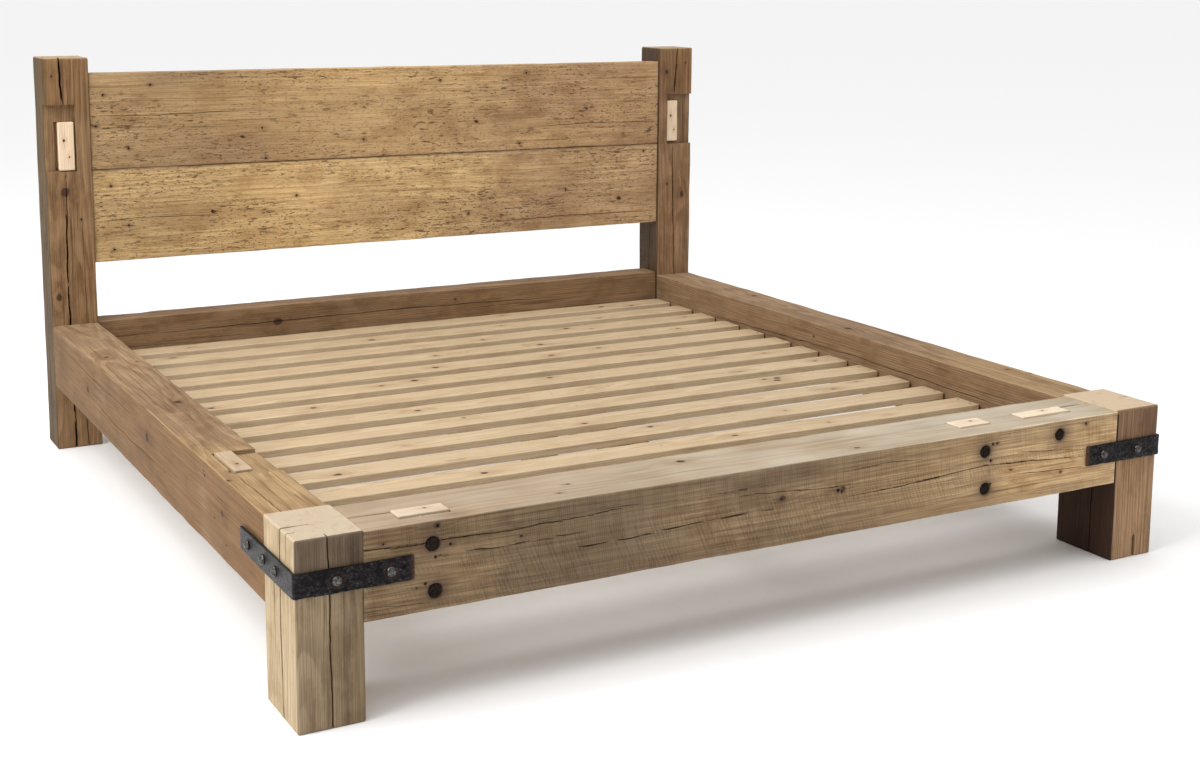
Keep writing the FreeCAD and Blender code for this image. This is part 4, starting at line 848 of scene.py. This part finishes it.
# ---- Corner straps ----
# Flat iron bars forged hot round each foot corner: scaly and dented on the front leg, smoother on
# the side leg. Five domed coach-bolt heads hold each one, and the nail holes of trial fitting stay.
# the pale tone is partly burnished iron and partly painted glints on the strap's high spots
strap_iron = metal("forged_iron_black", (0.002, 0.0015, 0.002), (0.015, 0.011, 0.013), 150.0, 1.0, 0.25, rust=0.08,
                   metallic=0.6, distance=0.0060, burnished_and_glint=(0.16, 0.155, 0.16))
bolt_iron = metal("bolt_steel_domed", (0.030, 0.029, 0.028), (0.17, 0.165, 0.160), 240.0, 0.6, 0.28, rust=0.2)
for side, sign in (("left", -1), ("right", 1)):
    low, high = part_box("corner_strap_" + side)
    middle, tall = (low[2] + high[2]) / 2, (high[2] - low[2]) / 2
    corner = sign * 1.125
    bend, thick = 0.009, 0.006
    front_leg, side_leg = abs(high[0] - low[0]) - bend, (high[1] - low[1]) - bend
    arc = bend * math.pi / 2
    run = lines(0, front_leg + arc + side_leg, 0.0026, [0.0005, 0.0015, front_leg, front_leg + arc,
                                                        front_leg + arc + side_leg - 0.0015])
    turn = np.clip((run - front_leg) / arc, 0, 1) * math.pi / 2
    forward, sidewise = np.clip(front_leg - run, 0, None), np.clip(run - front_leg - arc, 0, None)
    # the bend's centre, and from it the strap's outer surface
    bend_x, bend_y = corner - sign * (bend - thick), low[1] + bend
    normal = np.stack([sign * np.sin(turn), -np.cos(turn), 0 * run], -1)
    base = np.stack([bend_x - sign * forward, bend_y + sidewise, middle + 0 * run], -1)
    soft = 0.0016
    corner_arc = np.array([0, 0.35, 0.7, 1.0]) * math.pi / 2
    flat_rows = np.linspace(-tall + soft, tall - soft, 24)
    down = np.concatenate([bend - soft + soft * np.sin(corner_arc), np.linspace(bend - soft, bend - thick, 3)[1:]])
    up_edge = np.concatenate([tall - soft + soft * np.cos(corner_arc), np.full(2, tall)])
    order_out = np.concatenate([down[::-1], np.full(22, bend), down])
    # section loop: up the outer face, then down the inner face
    outer_off = np.concatenate([bend - soft + soft * np.cos(corner_arc[::-1]), np.full(22, bend), bend - soft + soft * np.cos(corner_arc)])
    outer_z = np.concatenate([-tall + soft - soft * np.sin(corner_arc[::-1]), flat_rows[1:-1], tall - soft + soft * np.sin(corner_arc)])
    inner_off = np.full(6, bend - thick + 0.0002)
    inner_z = np.linspace(tall, -tall, 6)
    off, level = np.concatenate([outer_off, inner_off]), np.concatenate([outer_z, inner_z])
    rings = base[:, None, :] + normal[:, None, :] * off[None, :, None]
    rings[..., 2] += level[None, :]
    wavy = 0.0012 * drift(rings, (0.030, 0.030, 9.0), 70) * np.sign(level)[None, :] * (np.abs(level) > 0.6 * tall)
    rings[..., 2] += wavy
    rough_share = np.clip((front_leg - run) / 0.02, 0.25, 1.0)[:, None]
    dents = 0.0012 * drift(rings, (0.014, 0.014, 0.0065), 71) + 0.0010 * drift(rings, (0.0060, 0.0060, 0.0036), 72)
    on_outer = (off > bend - 0.6 * thick)[None, :]
    rings += normal[:, None, :] * (dents * rough_share * on_outer - 0.0003)[..., None]
    # bolt places: hollow rust rings, and one old nail hole, sunk and darkened with painted shade
    fixings = [(corner - sign * d / 1000, low[1], middle) for d in ((81, 192) if sign < 0 else (73, 187))]
    fixings += [(corner, -1.171 + d / 1000, middle) for d in (99, 174, 272)]
    wear_and_shade = np.zeros((*rings.shape[:2], 4))
    wear_and_shade[..., 3] = 8.0
    for x, y, z in fixings:
        far = np.linalg.norm(rings - np.array((x, y, z)), axis=-1)
        wear_and_shade[..., 2] = np.maximum(wear_and_shade[..., 2], 0.2 * np.exp(-((far - 0.014) / 0.004) ** 2))
    nail = np.array((corner - sign * 0.220, low[1], middle + 0.004))
    far = np.linalg.norm(rings - nail, axis=-1)
    # painted shade in the old nail hole
    wear_and_shade[..., 0] = np.clip(1.3 - far / 0.0042, 0, 1)
    rings += normal[:, None, :] * (-0.004 * np.clip(1 - far / 0.0045, 0, 1) * on_outer)[..., None]
    wear_and_shade[..., 2] = np.maximum(wear_and_shade[..., 2], np.exp(-run / 0.004)[:, None])
    if sign > 0:
        rings, wear_and_shade = rings[::-1], wear_and_shade[::-1]
    skin("corner_strap_bar_" + side, [(rings, wear_and_shade)], strap_iron, ["corner_strap_" + side])
    dome = ((-0.006, 0.0048), (0.0002, 0.0048), (0.0003, 0.0106), (0.0012, 0.0111), (0.0022, 0.0109), (0.0040, 0.0098),
            (0.0056, 0.0080), (0.0068, 0.0058), (0.0076, 0.0034), (0.0079, 0.0014))
    for number, (x, y, z) in enumerate(fixings):
        axis = (0, -1, 0) if number < 2 else (sign, 0, 0)
        seat = (x, low[1], z) if number < 2 else (corner + sign * thick, y, z)
        head = spun(seat, axis, dome, 28, 0.00045, 80 + number)
        piece = skin("strap_bolt_%s_%d" % (side, number + 1), [head], bolt_iron, ["strap_bolts"], crease=50)

# ---- Deck: ledgers, beam and legs ----
# New pine carries the mattress out of sight: a ledger screwed along each side rail, and a beam down
# the middle in folded steel shoes, on three legs glued up from boards so that each forks at the top.
DECK_TONES = dict(early=(0.56, 0.43, 0.275), late=(0.38, 0.25, 0.13), dirt=(0.34, 0.23, 0.13), grey=(0.46, 0.35, 0.23))
for side, seed in (("left", 91), ("right", 92)):
    low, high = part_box("side_ledger_" + side)
    skin("deck_ledger_" + side,
         [timber((low, high), "y", seed, arris=0.003, wane=0.001, rough=0.0004, step=(0.014, 0.004),
                 knots=(("+x" if side == "left" else "-x", -0.30, 0.25, 0.007), ("+x" if side == "left" else "-x", 0.5, 0.245, 0.006)))],
         old_wood("ledger_wood_" + side, "y", (low[0] - 0.05, 0.0, 0.33), ring=0.0036, contrast=0.5, greying=0.15,
                  streaks=0.2, gloss=0.5, age=0.15, seed=seed - 70.0, **DECK_TONES),
         ["side_ledger_" + side])
ledger_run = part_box("head_post_left")[0][1] - post_back
ledger_heads = [(sign * 0.9472, post_back + ledger_run * (k + 0.5) / 7, 0.2485) for k in range(7) for sign in (-1, 1)]
skin("ledger_screw_heads",
     sum([screw_heads([place], (-np.sign(place[0]), 0, 0), 0.006) for place in ledger_heads], []),
     zinc, ["ledger_screws"])

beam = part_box("centre_beam")
skin("deck_beam",
     [timber(beam, "y", 93, arris=0.003, wane=0.001, rough=0.0004, step=(0.014, 0.004),
             knots=(("-x", 0.25, 0.24, 0.007), ("+x", -0.25, 0.235, 0.006)))],
     old_wood("beam_wood", "y", (-0.06, 0.0, 0.16), ring=0.0038, contrast=0.5, greying=0.15, streaks=0.2, gloss=0.5,
              age=0.15, seed=24.0, **DECK_TONES),
     ["centre_beam"])
for number in (1, 2, 3):
    low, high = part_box("centre_leg_%d" % number)
    fork = beam[0][2]
    leg = [timber((low, (beam[0][0], high[1], high[2])), "z", 94 + number, arris=0.0018, end_arris=0.002, wane=0.0008, rough=0.0003, step=(0.01, 0.004)),
           timber(((beam[1][0], low[1], low[2]), high), "z", 97 + number, arris=0.0018, end_arris=0.002, wane=0.0008, rough=0.0003, step=(0.01, 0.004)),
           timber(((beam[0][0], low[1], low[2]), (beam[1][0], high[1], fork)), "z", 90 + number, arris=0.0008, end_arris=0.002, wane=0.0004,
                  rough=0.0003, step=(0.01, 0.004))]
    skin("deck_leg_%d" % number, leg,
         old_wood("leg_wood_%d" % number, "z", (low[0] - 0.05, low[1] - 0.04 * number, 0.0), ring=0.0036, contrast=0.5, greying=0.15,
                  streaks=0.2, gloss=0.5, age=0.15, seed=26.0 + number, **DECK_TONES),
         ["centre_leg_%d" % number])
leg_places = [(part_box("centre_leg_%d" % n)[0][1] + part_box("centre_leg_%d" % n)[1][1]) / 2 for n in (1, 2, 3)]
skin("leg_screw_heads",
     screw_heads([(-0.0444, y + offset, 0.228) for y in leg_places for offset in (-0.018, 0.018)], (-1, 0, 0), 0.0045),
     zinc, ["leg_screws"])
for name in ("beam_hanger_foot", "beam_hanger_head", "hanger_screws", "rail_studs", "rail_washers", "rail_nuts", "leg_inserts"):
    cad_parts[name].data.materials.clear()
    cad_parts[name].data.materials.append(zinc)

# ---- Levelling feet ----
# A nylon pad moulded round the head of a threaded zinc stem, one under each centre leg. It screws
# out to meet the floor. The thread is a ridge whose height follows a helix of 1.5 mm pitch.
nylon = metal("nylon_pad", (0.030, 0.031, 0.034), (0.060, 0.060, 0.064), 300.0, 0.35, 0.42, metallic=0.0, distance=0.0003)
for number, y in enumerate(leg_places, 1):
    low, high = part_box("levelling_foot_%d" % number)
    pad = spun((0, y, 0), (0, 0, 1), ((0.0, 0.0150), (0.0, 0.0182), (0.0004, 0.0194), (0.0016, 0.0200), (0.0045, 0.0200), (0.0057, 0.0196),
                                      (0.0064, 0.0182), (0.0078, 0.0136), (0.0090, 0.0094), (0.0102, 0.0076), (0.0102, 0.0060)), 48)
    height = np.arange(0.0095, high[2], 0.00025)
    turn = np.linspace(0, 2 * np.pi, 24, endpoint=False)
    phase = (height[:, None] / 0.0015 - turn[None, :] / (2 * np.pi)) % 1
    radius = 0.00415 + 0.0008 * (1 - np.abs(2 * phase - 1)) * np.clip((high[2] - height) / 0.0015, 0, 1)[:, None]
    stem = np.stack([radius * np.cos(turn), y + radius * np.sin(turn), np.broadcast_to(height[:, None], radius.shape)], -1)
    body = "levelling_foot_%d" % number
    skin("levelling_pad_%d" % number, [pad], nylon, [body], body=body)
    skin("levelling_stem_%d" % number, [stem], zinc, [body], body=body)

# ---- Slats ----
# Fourteen pine boards laid across the ledgers and the beam, with eased edges, a few knots each, and
# five screws: two at either end and one in the middle.
slat_heads = []
for number in range(1, 15):
    low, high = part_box("slat_%02d" % number)
    middle = (low[1] + high[1]) / 2
    scatter = np.random.default_rng(200 + number)
    knots = [("+z", scatter.uniform(-0.9, 0.9), middle + scatter.uniform(-0.03, 0.03), scatter.uniform(0.004, 0.009)) for _ in range(4)]
    skin("slat_board_%02d" % number,
         [timber((low, high), "x", 100 + number, arris=0.0024, end_arris=0.002, wane=0.001, rough=0.0004, step=(0.015, 0.0055), knots=knots)],
         old_wood("slat_wood_%02d" % number, "x", (0.0, middle + scatter.uniform(-0.05, 0.05), scatter.uniform(0.16, 0.24)),
                  ring=0.0034 + 0.0012 * scatter.uniform(), contrast=0.45, greying=0.12, streaks=0.18, gloss=0.5,
                  age=0.15, seed=40.0 + number, **DECK_TONES),
         ["slat_%02d" % number])
    slat_heads += [(0.0, middle, high[2] - 0.0004)]
    slat_heads += [(x, middle + offset, high[2] - 0.0004) for x in (-0.966, 0.966) for offset in (-0.024, 0.024)]
skin("slat_screw_heads", screw_heads(slat_heads, (0, 0, 1), 0.0045), zinc, ["slat_screws"])

# ---- Studio ----
# A pale floor without end, a soft pale sky, a broad lamp high on the left, a weaker one in front.
floor_mesh = bpy.data.meshes.new("studio_floor")
floor_mesh.from_pydata([(-200, -200, 0), (200, -200, 0), (200, 200, 0), (-200, 200, 0)], [], [(0, 1, 2, 3)])
paper = bpy.data.materials.new("studio_paper")
paper.use_nodes = True
paper.node_tree.nodes.clear()
sheet = put(paper.node_tree, "BsdfPrincipled", {"Base Color": shade(0.90, 0.90, 0.90), "Roughness": 0.9})[0]
put(paper.node_tree, "OutputMaterial", {"Surface": sheet})
floor_mesh.materials.append(paper)
studio_floor = bpy.data.objects.new("studio_floor", floor_mesh)
bpy.context.scene.collection.objects.link(studio_floor)

world = bpy.data.worlds.new("studio_sky")
bpy.context.scene.world = world
world.use_nodes = True
world.node_tree.nodes.clear()
height = put(world.node_tree, "SeparateXYZ", {0: put(world.node_tree, "TexCoord", {})["Generated"]})[2]
overhead = sums(world.node_tree, "MULTIPLY", sums(world.node_tree, "POWER", sums(world.node_tree, "MAXIMUM", height, 0.0), 2.0), 1.35)
glow = sums(world.node_tree, "ADD", overhead, 0.35)
sky = put(world.node_tree, "Background", {"Color": shade(1.0, 1.0, 1.0), "Strength": glow})[0]
put(world.node_tree, "OutputWorld", {"Surface": sky})


def lamp(name, place, target, size, power, colour=(1.0, 1.0, 1.0)):
    light = bpy.data.lights.new(name, "AREA")
    light.shape, light.size, light.size_y = "RECTANGLE", size[0], size[1]
    light.energy, light.color = power, colour
    holder = bpy.data.objects.new(name, light)
    bpy.context.scene.collection.objects.link(holder)
    aim = np.array(target, float) - np.array(place, float)
    yaw, pitch = math.atan2(aim[0], aim[1]), math.atan2(-aim[2], math.hypot(aim[0], aim[1]))
    holder.matrix_world = (Matrix.Translation(place) @ Matrix.Rotation(-yaw, 4, "Z") @ Matrix.Rotation(math.pi / 2 - pitch, 4, "X"))


lamp("lamp_left", (-4.6, -0.8, 4.2), (-0.4, 0.0, 0.3), (4.0, 4.0), 300.0)
lamp("lamp_front", (2.5, -5.5, 3.0), (0.2, 0.0, 0.4), (3.0, 3.0), 20.0)

eye = bpy.data.cameras.new("viewpoint")
eye.lens, eye.sensor_width = 50.92, 36.0
eye.shift_y = -0.12
eye.clip_start, eye.clip_end = 0.05, 500.0
viewpoint = bpy.data.objects.new("viewpoint", eye)
bpy.context.scene.collection.objects.link(viewpoint)
viewpoint.matrix_world = (Matrix.Translation((-2.09953, -4.11071, 1.4366)) @ Matrix.Rotation(-0.50458, 4, "Z")
                          @ Matrix.Rotation(math.pi / 2 - 0.1583, 4, "X") @ Matrix.Rotation(0.00746, 4, "Z"))
bpy.context.scene.camera = viewpoint
bpy.context.scene.view_settings.view_transform = "Standard"

bpy.context.view_layer.update()
